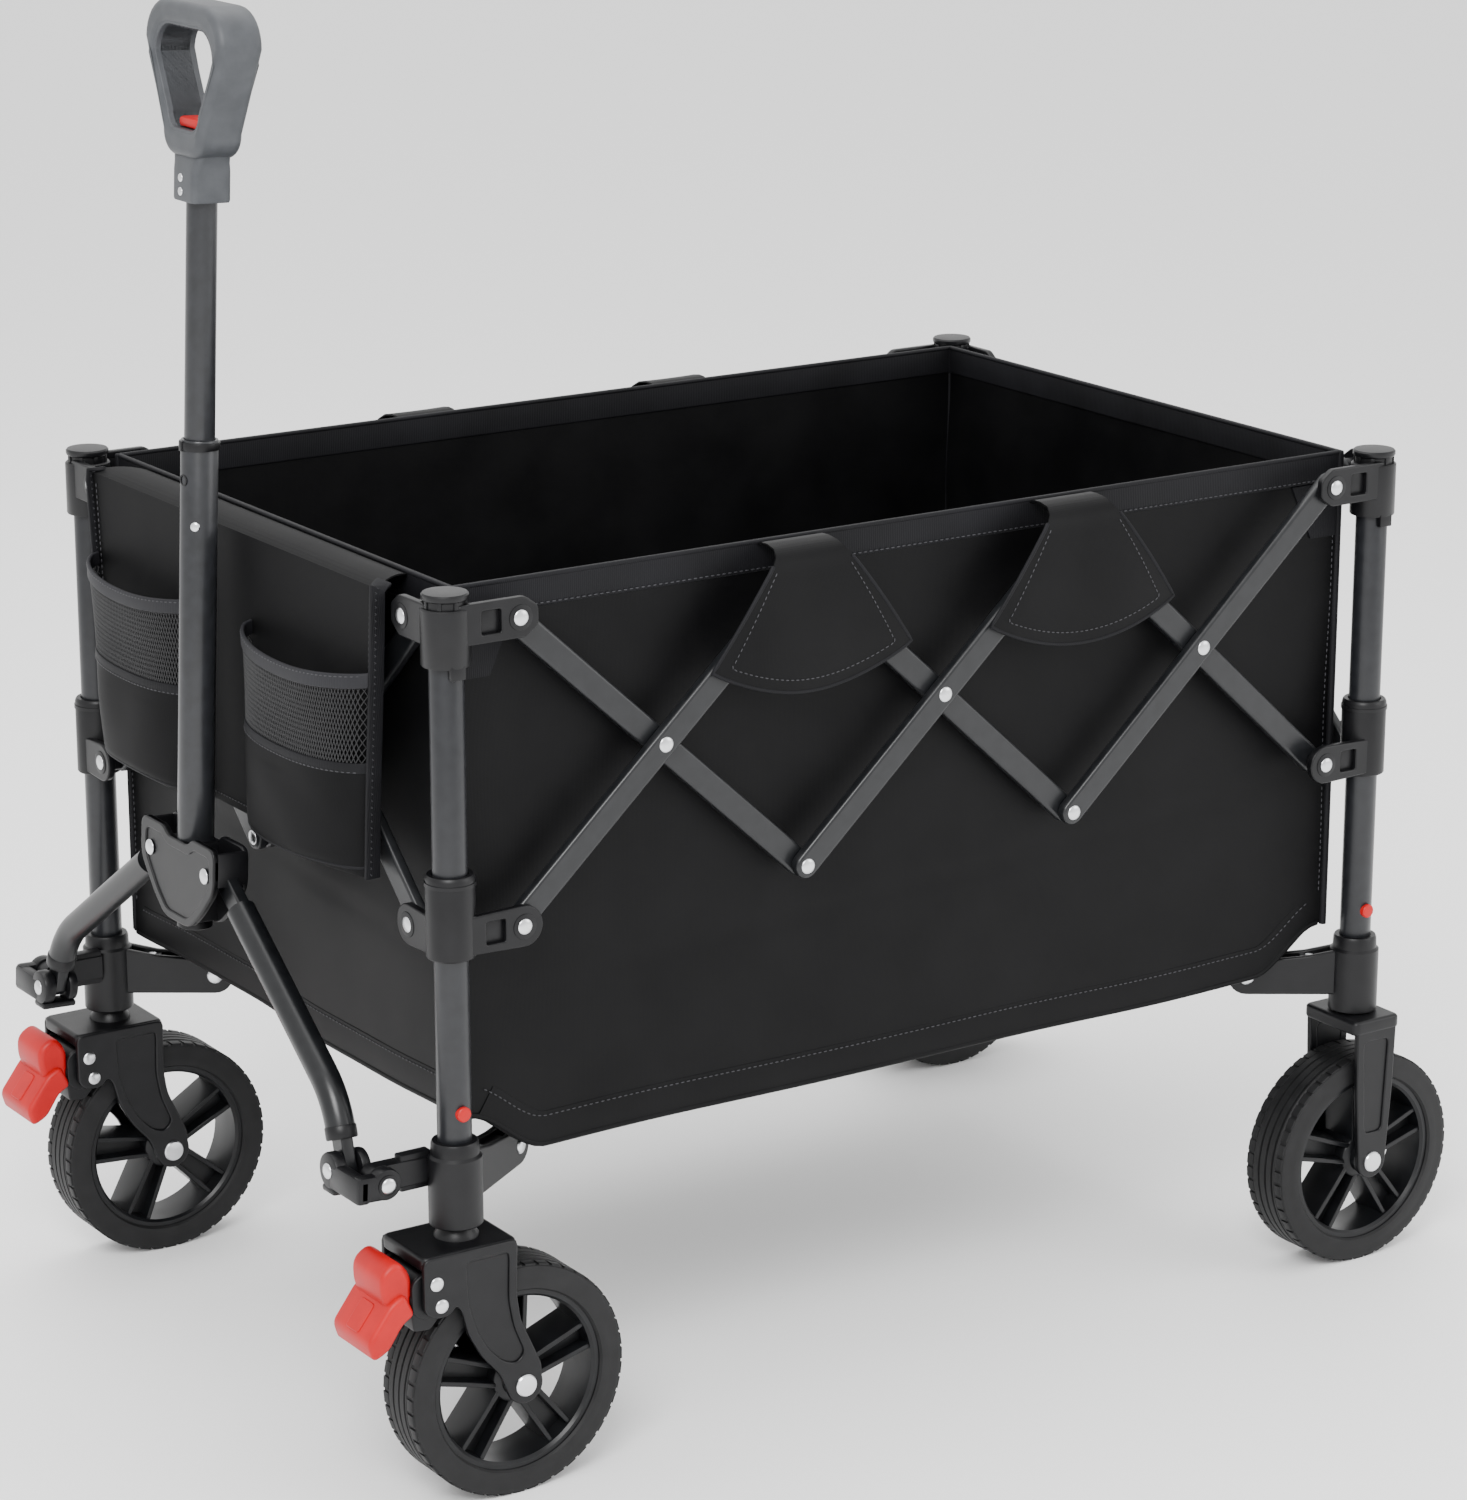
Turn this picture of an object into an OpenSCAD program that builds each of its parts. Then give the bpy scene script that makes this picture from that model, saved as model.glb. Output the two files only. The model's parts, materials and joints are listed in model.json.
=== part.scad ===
// Folding camp wagon: umbrella-folding scissor frame with corner posts, steering
// front casters, fixed rear wheels, a telescopic pull handle and a fabric basket.
// +X is the rear, the handle end is -X, left is -Y, +Z is up. The ground is z = 0.

/* [Frame] */
// Width of one scissor crossing, shared by the sides and the ends
cell_width = 250; // [200:5:320]
// Height of the upper pivots above the ground
upper_pivot_height = 664; // [560:2:820]
// Drop from the upper pivots to the sliding brackets
pivot_drop = 228; // [180:2:290]
// Outside diameter of the corner posts
post_diameter = 25.4; // [22:0.2:30]
// Face width of the scissor bars
bar_width = 20; // [16:0.5:24]
// Thickness of the scissor bars
bar_thickness = 9; // [6:0.5:12]
// Distance from a post to the first pivot on the long sides
reach_side = 52; // [46:1:70]
// Distance from a post to the first pivot on the ends
reach_end = 35; // [32:1:50]

/* [Wheels] */
// Outside diameter of the tyres
wheel_diameter = 180; // [150:2:220]
// Width of the tyres
wheel_width = 47; // [36:1:60]
// Distance the front axle trails behind its swivel axis
caster_trail = 38; // [30:1:50]
// Number of spokes in each wheel
spoke_count = 5; // [4:1:8]

/* [Handle] */
// Diameter of the lower handle tube
outer_tube_diameter = 28; // [26:0.5:34]
// Height of the lower handle tube's top above the tilt pin
outer_tube_top = 492; // [430:2:560]
// Length of tube showing between the lower tube and the grip
inner_tube_show = 176; // [120:2:240]
// Backward lean of the parked handle in degrees
handle_lean = 2.7; // [0:0.1:4]
// Width of the D grip
grip_width = 121; // [100:1:140]

/* [Basket] */
// Thickness of the fabric walls
fabric = 3; // [2:0.5:4]
// Height of the basket floor above the base pivots
floor_rise = 39; // [36:1:60]
// Height of the elastic tops of the two end pockets
pocket_top = 620; // [580:2:650]
// Width of each end pocket
pocket_width = 190; // [150:2:200]

/* [Clearances] */
// Gap between parts that slide or turn on each other
running_gap = 0.25; // [0.2:0.05:0.5]
// Gap between the bars of a crossing
bar_gap = 0.5; // [0.3:0.1:1]
// Gap between the soft goods and the frame
soft_gap = 2; // [1:0.5:4]

/* [Part to show] */
// Name of the part, or all

/* [Hidden] */
$fn = 48;
half_x = (3 * cell_width + 2 * reach_side) / 2;
half_y = (2 * cell_width + 2 * reach_end) / 2;
post_r = post_diameter / 2;
sleeve_r = post_r + 5.3;
bar_r = bar_width / 2;
wheel_r = wheel_diameter / 2;
z_up = upper_pivot_height;
z_low = z_up - pivot_drop;
z_crown = wheel_diameter + 27;      // top of the fork crowns
z_collar = z_crown + 9;             // bottom of the base brackets
z_base = wheel_diameter + 65;       // strut pivots
z_tilt = wheel_diameter + 78;       // handle tilt pin
z_cap = z_up + 23;
z_button = z_collar + 87;
// layers measured outward from the post centres
in0 = -bar_gap / 2 - bar_thickness;
in1 = -bar_gap / 2;
out0 = bar_gap / 2;
out1 = bar_gap / 2 + bar_thickness;
arm0 = out1 + bar_gap;
arm1 = arm0 + 6;
pin_r = 3;
bore_r = pin_r + running_gap;
float_r = pin_r + 2.7;                // right leg foot, whose pin floats as the frame folds
head_r = 6;
head_h = 1.75;
arm_r = 16;
// struts
strut_reach = 89;
hub_reach = 80;
strut_t = 10;
diag = sqrt(half_x * half_x + half_y * half_y);
strut_run = diag - strut_reach - hub_reach;
strut_rise = strut_run * tan(3);
z_hub_pin = z_base + strut_rise;
hub_bottom = z_hub_pin + bar_r + 1.5;
psi = atan(half_y / half_x);
// handle
pin_forward = 58;                   // tilt pin ahead of the post
hx = -8;                            // plane of legs and tube in the handle frame
leg_low = half_y - 42;              // lower leg pivot, measured from the centre
leg_top = 45;                       // upper leg pivot, measured from the centre
leg_rise = 169;
leg_r = 11;
tongue = 10;
tube_r = outer_tube_diameter / 2;
inner_r = tube_r - 2.5;
tube_foot = leg_rise - 14;
grip_foot = outer_tube_top + inner_tube_show;
grip_z = grip_foot + 32;
grip_h = 112;
grip_t = 36;
// basket
bx = half_x - 16;
by = half_y - 20;
z_floor = z_base + floor_rise;
z_rim = z_up + 19;
fork_in = wheel_width / 2 + 3.5;
fork_out = fork_in + 5;

// ---------- frames ----------
// side(s): draw in (along X, up, outward) at the left (-1) or right (+1) side
module side(s) multmatrix([[1, 0, 0, 0], [0, 0, s, s * half_y], [0, 1, 0, 0], [0, 0, 0, 1]]) children();
// end(s): draw in (along Y, up, outward) at the front (-1) or rear (+1) end
module end(s) multmatrix([[0, 0, s, s * half_x], [1, 0, 0, 0], [0, 1, 0, 0], [0, 0, 0, 1]]) children();
// corner(sx, sy): draw with +X and +Y pointing from the post to the middle of the wagon
module corner(sx, sy) translate([sx * half_x, sy * half_y, 0]) scale([-sx, -sy, 1]) children();
// layer(a, b): a plate between two outward distances
module layer(a, b) translate([0, 0, a]) linear_extrude(b - a) children();
module rod(r, a, b) translate([0, 0, a]) cylinder(r = r, h = b - a);
module along_x(r, a, b) rotate([0, 90, 0]) rod(r, a, b);
module along_y(r, a, b) rotate([-90, 0, 0]) rod(r, a, b);
// handle_frame(): origin on the tilt pin, standing upright before the lean
module handle_frame() translate([-half_x - pin_forward, 0, z_tilt]) rotate([0, handle_lean, 0]) children();

// ---------- scissor bars ----------
module stadium(p, q, r) {
    d = q - p;
    translate(p) rotate(atan2(d[1], d[0])) {
        translate([0, -r]) square([norm(d), 2 * r]);
        circle(r);
        translate([norm(d), 0]) circle(r);
    }
}

// outer bar: rises along the side and carries the rivets; ends: "mid" or "post"
module outer_bar(p, q, low_end, top_end) {
    m = (p + q) / 2;
    layer(out0, out1) stadium(p, q, bar_r);
    translate(m) inward_rivet();
    translate(p) if (low_end == "mid") inward_rivet(); else outward_rivet();
    translate(q) if (top_end == "mid") inward_rivet(); else outward_rivet();
}

// inner bar: falls along the side and turns on the rivets
module inner_bar(p, q) {
    layer(in0, in1) difference() {
        stadium(p, q, bar_r);
        for (c = [p, q, (p + q) / 2]) translate(c) circle(bore_r);
    }
}

module inward_rivet() {
    rod(pin_r, in0 - head_h - running_gap, out1);
    rod(head_r, in0 - head_h - running_gap, in0 - running_gap);
    rod(head_r, out1 - 0.5, out1 + head_h);
}

module outward_rivet() {
    rod(pin_r, out1 - 0.5, arm1 + running_gap + head_h);
    rod(head_r, arm1 + running_gap, arm1 + running_gap + head_h);
}

// bars of cell i (0 first) counted from x0 or y0
module outer_in_cell(start, i, n) {
    outer_bar([start + i * cell_width, z_low], [start + (i + 1) * cell_width, z_up],
        i == 0 ? "post" : "mid", i == n - 1 ? "post" : "mid");
}

module inner_in_cell(start, i) {
    inner_bar([start + i * cell_width, z_up], [start + (i + 1) * cell_width, z_low]);
}

module side_outer(s, i) color("#2b2c2e") side(s) outer_in_cell(reach_side - half_x, i, 3);
module side_inner(s, i) color("#2b2c2e") side(s) inner_in_cell(reach_side - half_x, i);
module end_outer(s, i) color("#2b2c2e") end(s) outer_in_cell(reach_end - half_y, i, 2);
module end_inner(s, i) color("#2b2c2e") end(s) inner_in_cell(reach_end - half_y, i);

// ---------- brackets ----------
// arm in (distance from the post, height, outward); inner = it holds an inner bar
module bracket_arm(reach, inner) {
    difference() {
        layer(arm0, arm1) {
            translate([0, -arm_r]) square([reach, 2 * arm_r]);
            translate([reach, 0]) circle(arm_r);
        }
        if (!inner) translate([reach, 0]) rod(bore_r, arm0 - 1, arm1 + 1);
    }
    if (inner) translate([reach, 0]) {
        rod(8, in1 + running_gap, arm0 + 0.5);
        rod(pin_r, in0 - head_h - running_gap, arm0);
        rod(head_r, in0 - head_h - running_gap, in0 - running_gap);
        rod(head_r, arm1 - 0.5, arm1 + head_h);
    }
}

// both arms of a corner bracket at height z
module corner_arms(z, side_inner_bar, end_inner_bar) {
    translate([0, 0, z]) {
        multmatrix([[1, 0, 0, 0], [0, 0, -1, 0], [0, 1, 0, 0], [0, 0, 0, 1]]) bracket_arm(reach_side, side_inner_bar);
        multmatrix([[0, 0, -1, 0], [1, 0, 0, 0], [0, 1, 0, 0], [0, 0, 0, 1]]) bracket_arm(reach_end, end_inner_bar);
    }
}

module post(sx, sy) color("#303134") corner(sx, sy) difference() {
    rod(post_r, z_collar + 40, z_up + 16);
    rod(post_r - 1.6, z_collar + 39, z_up + 15);
    translate([0, 0, z_button]) along_y(5 + running_gap, -post_r - 1, 0);
}

module post_cap() {
    rod(post_r + 2.4, z_up + 12, z_cap - 5);
    rod(post_r + 4.3, z_cap - 5, z_cap);
}

module fittings(sx, sy, side_inner_bar, end_inner_bar) color("#1b1c1d") corner(sx, sy) {
    difference() {
        union() {
            corner_arms(z_up, side_inner_bar, end_inner_bar);
            rod(sleeve_r, z_up - 30, z_up + 12);
            post_cap();
        }
        rod(post_r + 0.1, z_up - 31, z_up + 16.1);
    }
    translate([0, 0, z_button]) along_y(5, -post_r - 3, -post_r + 5);
    base_bracket(sx < 0);
}

module base_bracket(front) {
    difference() {
        union() {
            rod(post_r + 7.3, z_collar, z_collar + 64);
            rotate(psi) strut_arm();
            if (front) tilt_lug();
            if (!front) rear_fork();
        }
        rod(post_r + 0.1, z_collar + 39.9, z_collar + 65);
        if (front) rod(9 + running_gap, z_collar - 1, z_collar + 37);
    }
    rotate(psi) translate([strut_reach, 0, z_base]) strut_pin();
    if (!front) rear_axle();
}

// arm to the strut, split into two cheeks round the strut's end
module strut_arm() {
    w = strut_t / 2 + 0.4;
    difference() {
        translate([0, 0, z_base]) {
            translate([0, -w - 5, -15]) cube([strut_reach, 2 * w + 10, 30]);
            translate([strut_reach, 0, 0]) along_y(15, -w - 5, w + 5);
        }
        translate([strut_reach - bar_r - 4, -w, z_base - 40]) cube([60, 2 * w, 80]);
    }
}

module strut_pin() {
    w = strut_t / 2 + 0.4;
    along_y(pin_r, -w - 6.5, w + 6.5);
    for (s = [-1, 1]) scale([1, s, 1]) along_y(head_r, w + 4.5, w + 6.5);
}

module slider(sx, sy, side_inner_bar, end_inner_bar) color("#1b1c1d") corner(sx, sy) difference() {
    union() {
        rod(sleeve_r, z_low - 18, z_low + 45);
        corner_arms(z_low, side_inner_bar, end_inner_bar);
    }
    rod(post_r + 0.4, z_low - 19, z_low + 46);
}

// ---------- base struts and centre plate ----------
module strut(sx, sy) color("#2b2c2e") corner(sx, sy) rotate(psi)
    multmatrix([[1, 0, 0, strut_reach], [0, 0, -1, strut_t / 2], [0, 1, 0, z_base], [0, 0, 0, 1]])
    linear_extrude(strut_t) difference() {
        stadium([0, 0], [strut_run, strut_rise], bar_r);
        circle(bore_r);
        translate([strut_run, strut_rise]) circle(bore_r);
    }

module centre_plate() color("#1b1c1d") {
    px = hub_reach * cos(psi) + 12;
    py = hub_reach * sin(psi) + 12;
    translate([0, 0, hub_bottom]) linear_extrude(6) {
        square([2 * px - 24, 2 * py], center = true);
        square([2 * px, 2 * py - 24], center = true);
        for (i = [-1, 1], j = [-1, 1]) translate([i * (px - 12), j * (py - 12)]) circle(12);
    }
    corner(-1, -1) rotate(psi) translate([diag - hub_reach, 0, 0]) {
        for (s = [-1, 1]) scale([1, s, 1]) {
            translate([-9, strut_t / 2 + 0.4, z_hub_pin]) cube([18, 4, hub_bottom - z_hub_pin + 1]);
            translate([0, 0, z_hub_pin]) along_y(9, strut_t / 2 + 0.4, strut_t / 2 + 4.4);
        }
        translate([0, 0, z_hub_pin]) along_y(pin_r, -strut_t / 2 - 2, strut_t / 2 + 2);
    }
}

// ---------- wheels and forks ----------
module wheel_at(x, s) translate([x, s * half_y, wheel_r]) rotate([90, 0, 0]) children();

module tyre() rotate_extrude($fn = 96) {
    h = wheel_width / 2;
    translate([wheel_r - 20, -h]) polygon([[0, 2], [2, 0], [17, 0], [20, 3],
        [20, 2 * h - 3], [17, 2 * h], [2, 2 * h], [0, 2 * h - 2]]);
}

module wheel_core() difference() {
    h = wheel_width / 2 - 3;
    rim = wheel_r - 20 - 0.1;
    union() {
        difference() { rod(rim, -h, h); rod(rim - 5, -h - 1, h + 1); }
        rod(17, -wheel_width / 2 - 1, wheel_width / 2 + 1);
        for (i = [0 : spoke_count - 1]) rotate(i * 360 / spoke_count + 18)
            translate([0, -5, -h + 3]) cube([rim - 2, 10, 2 * h - 6]);
    }
    rod(4 + running_gap, -wheel_width, wheel_width);
}

module axle() {
    along_y(4, -fork_out - 1, fork_out + 1);
    for (s = [-1, 1]) scale([1, s, 1]) along_y(8, fork_out, fork_out + 3);
}

module blades() for (s = [-1, 1]) scale([1, s, 1]) translate([0, fork_out, 0]) rotate([90, 0, 0]) linear_extrude(fork_out - fork_in) children();

module front_fork(s) color("#1b1c1d") corner(-1, s) {
    translate([-46, -fork_out, z_crown - 12]) cube([80, 2 * fork_out, 12]);
    rod(9, z_crown - 1, z_collar + 35);
    difference() {
        blades() {
            polygon([[-46, z_crown], [34, z_crown], [42, z_crown - 40], [caster_trail + 15, wheel_r],
                [caster_trail - 15, wheel_r], [-4, z_crown - 66], [-46, z_crown - 46]]);
            translate([caster_trail, wheel_r]) circle(15);
        }
        translate([brake_x, 0, brake_z]) along_y(pin_r + running_gap, -50, 50);
    }
    translate([caster_trail, 0, wheel_r]) axle();
}

module rear_fork() {
    translate([-22, -fork_out, z_collar - 16]) cube([44, 2 * fork_out, 17]);
    blades() {
        polygon([[-22, z_collar], [22, z_collar], [15, wheel_r], [-15, wheel_r]]);
        translate([0, wheel_r]) circle(15);
    }
}

module rear_axle() translate([0, 0, wheel_r]) axle();

// ---------- brakes ----------
brake_x = -35;
brake_z = z_crown - 21;
// direction from the front axle, in degrees, at a distance beyond the tread
function tread(a, gap) = [caster_trail + (wheel_r + gap) * cos(a), wheel_r + (wheel_r + gap) * sin(a)];

module brake(s) color("#d8232a") corner(-1, s) {
    w = fork_in - 1;
    translate([0, w, 0]) rotate([90, 0, 0]) linear_extrude(2 * w) polygon([
        [brake_x + 6, brake_z + 5], [brake_x - 6, brake_z + 5], [brake_x - 18, brake_z - 9],
        tread(146, 18), tread(142, 4.5), tread(124, 4.5), [brake_x + 15, brake_z - 6]]);
    translate([0, w + 2, 0]) rotate([90, 0, 0]) linear_extrude(2 * w + 4) polygon([
        [-50, brake_z + 9], [-62, brake_z + 22], [-76, brake_z + 12], [-73, brake_z - 8], [-wheel_r, brake_z - 38],
        [-82, brake_z - 54], [-58, brake_z - 42], [-50, brake_z - 26]]);
    translate([-52, -w, brake_z - 20]) cube([16, 2 * w, 24]);
    translate([brake_x, 0, brake_z]) along_y(pin_r, -fork_out - 1, fork_out + 1);
    for (k = [-1, 1]) scale([1, k, 1]) translate([brake_x, 0, brake_z]) along_y(head_r, fork_out + 0.3, fork_out + 2);
}

// ---------- handle ----------
lug0 = 7.5;                          // lug faces, from the post centre towards the middle
lug1 = 20.5;
module tilt_lug() translate([0, 0, z_tilt]) {
    difference() {
        union() {
            translate([-pin_forward, lug0, -10]) cube([pin_forward, lug1 - lug0, 20]);
            translate([-pin_forward, 0, 0]) along_y(10, lug0, lug1);
        }
        translate([-pin_forward, 0, 0]) along_y(4.2, lug0 - 1, lug1 + 1);
    }
}

// knuckle(s): turns on the lug, and holds the leg's foot between two cheeks
module knuckle(s) color("#1b1c1d") handle_frame() scale([1, s, 1]) {
    far = half_y - lug0;
    near = half_y - lug1;
    // outer cheek, tilt pin and front web
    along_y(12, far + 0.5, far + 12);
    along_y(4, near - 2, far + 6);
    along_y(8, near - 2.5, near - 0.5);
    along_y(8, far + 11, far + 13.5);
    translate([-23, far + 0.5, -12]) cube([23, 11.5, 20]);
    translate([-24, leg_low, -13]) cube([11, far + 12 - leg_low, 20]);
    // cheeks round the leg's foot
    translate([0, leg_low, 0]) {
        along_x(14, -24, hx - tongue / 2 - 0.4);
        along_x(14, hx + tongue / 2 + 0.4, 6);
        translate([-24, -9, -17]) cube([30, 18, 5.5]);
        along_x(pin_r, -25.5, 7.5);
        along_x(head_r, -26, -23.5);
    }
}

module limb(a, b) translate(a) multmatrix(frame_to(b - a)) rod(leg_r, 0, norm(b - a));
// rotation that carries +Z to a direction in the plane of the legs
function frame_to(d) = let (n = norm(d), c = d[2] / n, s = d[1] / n) [[1, 0, 0, 0], [0, c, s, 0], [0, -s, c, 0], [0, 0, 0, 1]];

// leg(s): bent tube with a flattened end at each pivot
module leg(s) color("#2b2c2e") handle_frame() scale([1, s, 1]) translate([hx, 0, 0]) {
    foot = [0, leg_low, 0];
    top = [0, leg_top, leg_rise];
    bend = [0, leg_low - 18, 47];
    up = (bend - foot) / norm(bend - foot);
    down = (bend - top) / norm(bend - top);
    limb(foot + up * 21, bend);
    translate(bend) sphere(leg_r + 0.3);
    limb(top + down * 36, bend);
    difference() {
        multmatrix([[0, 0, 1, -tongue / 2], [1, 0, 0, 0], [0, 1, 0, 0], [0, 0, 0, 1]]) linear_extrude(tongue) {
            stadium([foot[1], foot[2]], [foot[1] + up[1] * 30, foot[2] + up[2] * 30], 8);
            stadium([top[1], top[2]], [top[1] + down[1] * 44, top[2] + down[2] * 44], 9);
        }
        translate(foot) along_x(s > 0 ? float_r : bore_r, -20, 20);
        translate(top) along_x(bore_r, -20, 20);
    }
}

module yoke() color("#232426") handle_frame() {
    front = hx - tube_r;
    back = hx + tube_r;
    slot = tongue / 2 + 0.4;
    difference() {
        translate([front - 2, 0, 0]) multmatrix([[0, 0, 1, 0], [1, 0, 0, 0], [0, 1, 0, 0], [0, 0, 0, 1]])
            linear_extrude(back - front + 2) polygon([[-60, leg_rise + 23], [60, leg_rise + 23], [60, leg_rise - 9],
                [20, leg_rise - 48], [-20, leg_rise - 48], [-60, leg_rise - 9]]);
        for (s = [-1, 1]) scale([1, s, 1]) translate([hx - slot, 20, leg_rise - 60]) cube([2 * slot, 60, 90]);
        translate([hx, 0, 0]) rod(tube_r + 0.1, tube_foot, leg_rise + 40);
    }
    for (s = [-1, 1]) translate([0, s * leg_top, leg_rise]) {
        along_x(pin_r, front - 3.5, back + 1.5);
        along_x(head_r, front - 3.75, front - 1.9);
        along_x(head_r, back - 0.2, back + 1.75);
    }
    translate([hx, 0, 0]) rod(12, leg_rise - 53, leg_rise - 47);
}

module outer_tube() color("#3a3b3e") handle_frame() translate([hx, 0, 0]) difference() {
    union() {
        rod(tube_r, tube_foot + 0.2, outer_tube_top);
        rod(tube_r + 1.5, outer_tube_top - 8, outer_tube_top);
    }
    rod(inner_r + 0.4, tube_foot - 1, outer_tube_top + 1);
}

module inner_tube() color("#3a3b3e") handle_frame() translate([hx, 0, 0]) difference() {
    rod(inner_r, outer_tube_top - 262, grip_foot + 30);
    rod(inner_r - 1.5, outer_tube_top - 263, grip_foot + 31);
}

module d_outline(w_top, w_low, z0, z1, r) hull() {
    for (s = [-1, 1]) {
        translate([s * (w_top / 2 - r), z1 - r]) circle(r);
        translate([s * (w_low / 2 - r * 0.8), z0 + r * 0.8]) circle(r * 0.8);
    }
}

module grip() color("#5b5d61") handle_frame() translate([hx, 0, 0]) {
    difference() {
        union() {
            multmatrix([[0, 0, 1, -grip_t / 2], [1, 0, 0, 0], [0, 1, 0, 0], [0, 0, 0, 1]]) linear_extrude(grip_t) difference() {
                d_outline(grip_width, grip_width * 0.66, grip_z, grip_z + grip_h, 30);
                d_outline(grip_width - 42, grip_width * 0.66 - 40, grip_z + 20, grip_z + grip_h - 24, 16);
            }
            translate([-15, -17, grip_foot]) cube([30, 34, 36]);
        }
        rod(inner_r + 0.1, grip_foot - 1, grip_foot + 30.2);
        translate([-8.4, -14.4, grip_z + 6]) cube([16.8, 28.8, 20]);
    }
}

module trigger() color("#d8232a") handle_frame() translate([hx, 0, 0])
    translate([-8, -14, grip_z + 12]) cube([16, 28, 13]);

// ---------- soft goods ----------
module basket() color("#242427") {
    // tub
    difference() {
        translate([-bx, -by, z_floor]) cube([2 * bx, 2 * by, z_rim - z_floor]);
        translate([-bx + fabric, -by + fabric, z_floor + fabric]) cube([2 * (bx - fabric), 2 * (by - fabric), z_rim]);
    }
    for (s = [-1, 1]) {
        // side skirts below the floor
        translate([-bx + 61, s > 0 ? by - fabric : -by, z_base + 5]) cube([2 * bx - 122, fabric, floor_rise]);
        // flaps over the upper middle pivots
        for (i = [-1, 1]) side(s) translate([i * cell_width / 2, 0]) {
            layer(out1 + head_h + soft_gap, out1 + head_h + soft_gap + 2) polygon([[-28, z_rim - 5], [28, z_rim - 5],
                [88, z_rim - 85], [60, z_rim - 100], [0, z_rim - 109], [-60, z_rim - 100], [-88, z_rim - 85]]);
            translate([-28, z_rim - 5, by - half_y - fabric]) cube([56, 3, out1 + head_h + soft_gap + 2 + half_y - by + fabric]);
        }
    }
}

pocket_back = half_x + arm1 + head_h + soft_gap + 0.5;
pocket_front = half_x + 55;
pocket_in = 36;                     // clear of the handle tube between the pockets
pocket_low = z_tilt + leg_rise + 31; // just above the yoke
module pockets() color("#1f1f22") {
    translate([-pocket_back - 2, -pocket_in - pocket_width, pocket_low + 2])
        cube([2, 2 * (pocket_in + pocket_width), z_rim - pocket_low - 4]);
    translate([-pocket_back - 2, -half_y + 85, z_rim - 5]) cube([pocket_back + 2 - bx - 0.3, 2 * half_y - 170, 3]);
    for (s = [-1, 1]) scale([1, s, 1]) difference() {
        translate([-pocket_front, pocket_in, pocket_low]) cube([pocket_front - pocket_back, pocket_width, pocket_top - pocket_low]);
        translate([-pocket_front + 2.5, pocket_in + 2.5, pocket_low + 3])
            cube([pocket_front - pocket_back - 2.5, pocket_width - 5, pocket_top]);
    }
}

// ---------- what is drawn ----------
post(-1, -1);  // post_front_left
post(-1, 1);  // post_front_right
post(1, -1);  // post_rear_left
post(1, 1);  // post_rear_right
fittings(-1, -1, true, true);  // fittings_front_left
fittings(-1, 1, true, false);  // fittings_front_right
fittings(1, -1, false, true);  // fittings_rear_left
fittings(1, 1, false, false);  // fittings_rear_right
slider(-1, -1, false, false);  // slider_front_left
slider(-1, 1, false, true);  // slider_front_right
slider(1, -1, true, false);  // slider_rear_left
slider(1, 1, true, true);  // slider_rear_right
side_outer(-1, 0);  // left_outer_bar_1
side_inner(-1, 0);  // left_inner_bar_1
side_outer(-1, 1);  // left_outer_bar_2
side_inner(-1, 1);  // left_inner_bar_2
side_outer(-1, 2);  // left_outer_bar_3
side_inner(-1, 2);  // left_inner_bar_3
side_outer(1, 0);  // right_outer_bar_1
side_inner(1, 0);  // right_inner_bar_1
side_outer(1, 1);  // right_outer_bar_2
side_inner(1, 1);  // right_inner_bar_2
side_outer(1, 2);  // right_outer_bar_3
side_inner(1, 2);  // right_inner_bar_3
end_outer(-1, 0);  // front_outer_bar_1
end_inner(-1, 0);  // front_inner_bar_1
end_outer(-1, 1);  // front_outer_bar_2
end_inner(-1, 1);  // front_inner_bar_2
end_outer(1, 0);  // rear_outer_bar_1
end_inner(1, 0);  // rear_inner_bar_1
end_outer(1, 1);  // rear_outer_bar_2
end_inner(1, 1);  // rear_inner_bar_2
strut(-1, -1);  // strut_front_left
strut(-1, 1);  // strut_front_right
strut(1, -1);  // strut_rear_left
strut(1, 1);  // strut_rear_right
centre_plate();
front_fork(-1);  // front_fork_left
front_fork(1);  // front_fork_right
color("#2a2b2d") wheel_at(-half_x + caster_trail, -1) wheel_core();  // wheel_front_left
color("#3a3a3c") wheel_at(-half_x + caster_trail, -1) tyre();  // tyre_front_left
color("#2a2b2d") wheel_at(-half_x + caster_trail, 1) wheel_core();  // wheel_front_right
color("#3a3a3c") wheel_at(-half_x + caster_trail, 1) tyre();  // tyre_front_right
color("#2a2b2d") wheel_at(half_x, -1) wheel_core();  // wheel_rear_left
color("#3a3a3c") wheel_at(half_x, -1) tyre();  // tyre_rear_left
color("#2a2b2d") wheel_at(half_x, 1) wheel_core();  // wheel_rear_right
color("#3a3a3c") wheel_at(half_x, 1) tyre();  // tyre_rear_right
brake(-1);  // brake_left
brake(1);  // brake_right
knuckle(-1);  // knuckle_left
leg(-1);  // leg_left
knuckle(1);  // knuckle_right
leg(1);  // leg_right
yoke();
outer_tube();
inner_tube();
grip();
trigger();
basket();
pockets();
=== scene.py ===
# %% [markdown]
# # Folding camp wagon
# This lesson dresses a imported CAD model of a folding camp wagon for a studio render. The CAD
# part gives every rigid body and joint; each cell here adds one kind of piece on top of it, in
# metres, in the same frame. +X is the rear, the pull handle is at -X, the left side faces -Y.

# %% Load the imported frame
import bpy, bmesh, json, math
import numpy as np
from mathutils import Matrix, Vector

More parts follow.
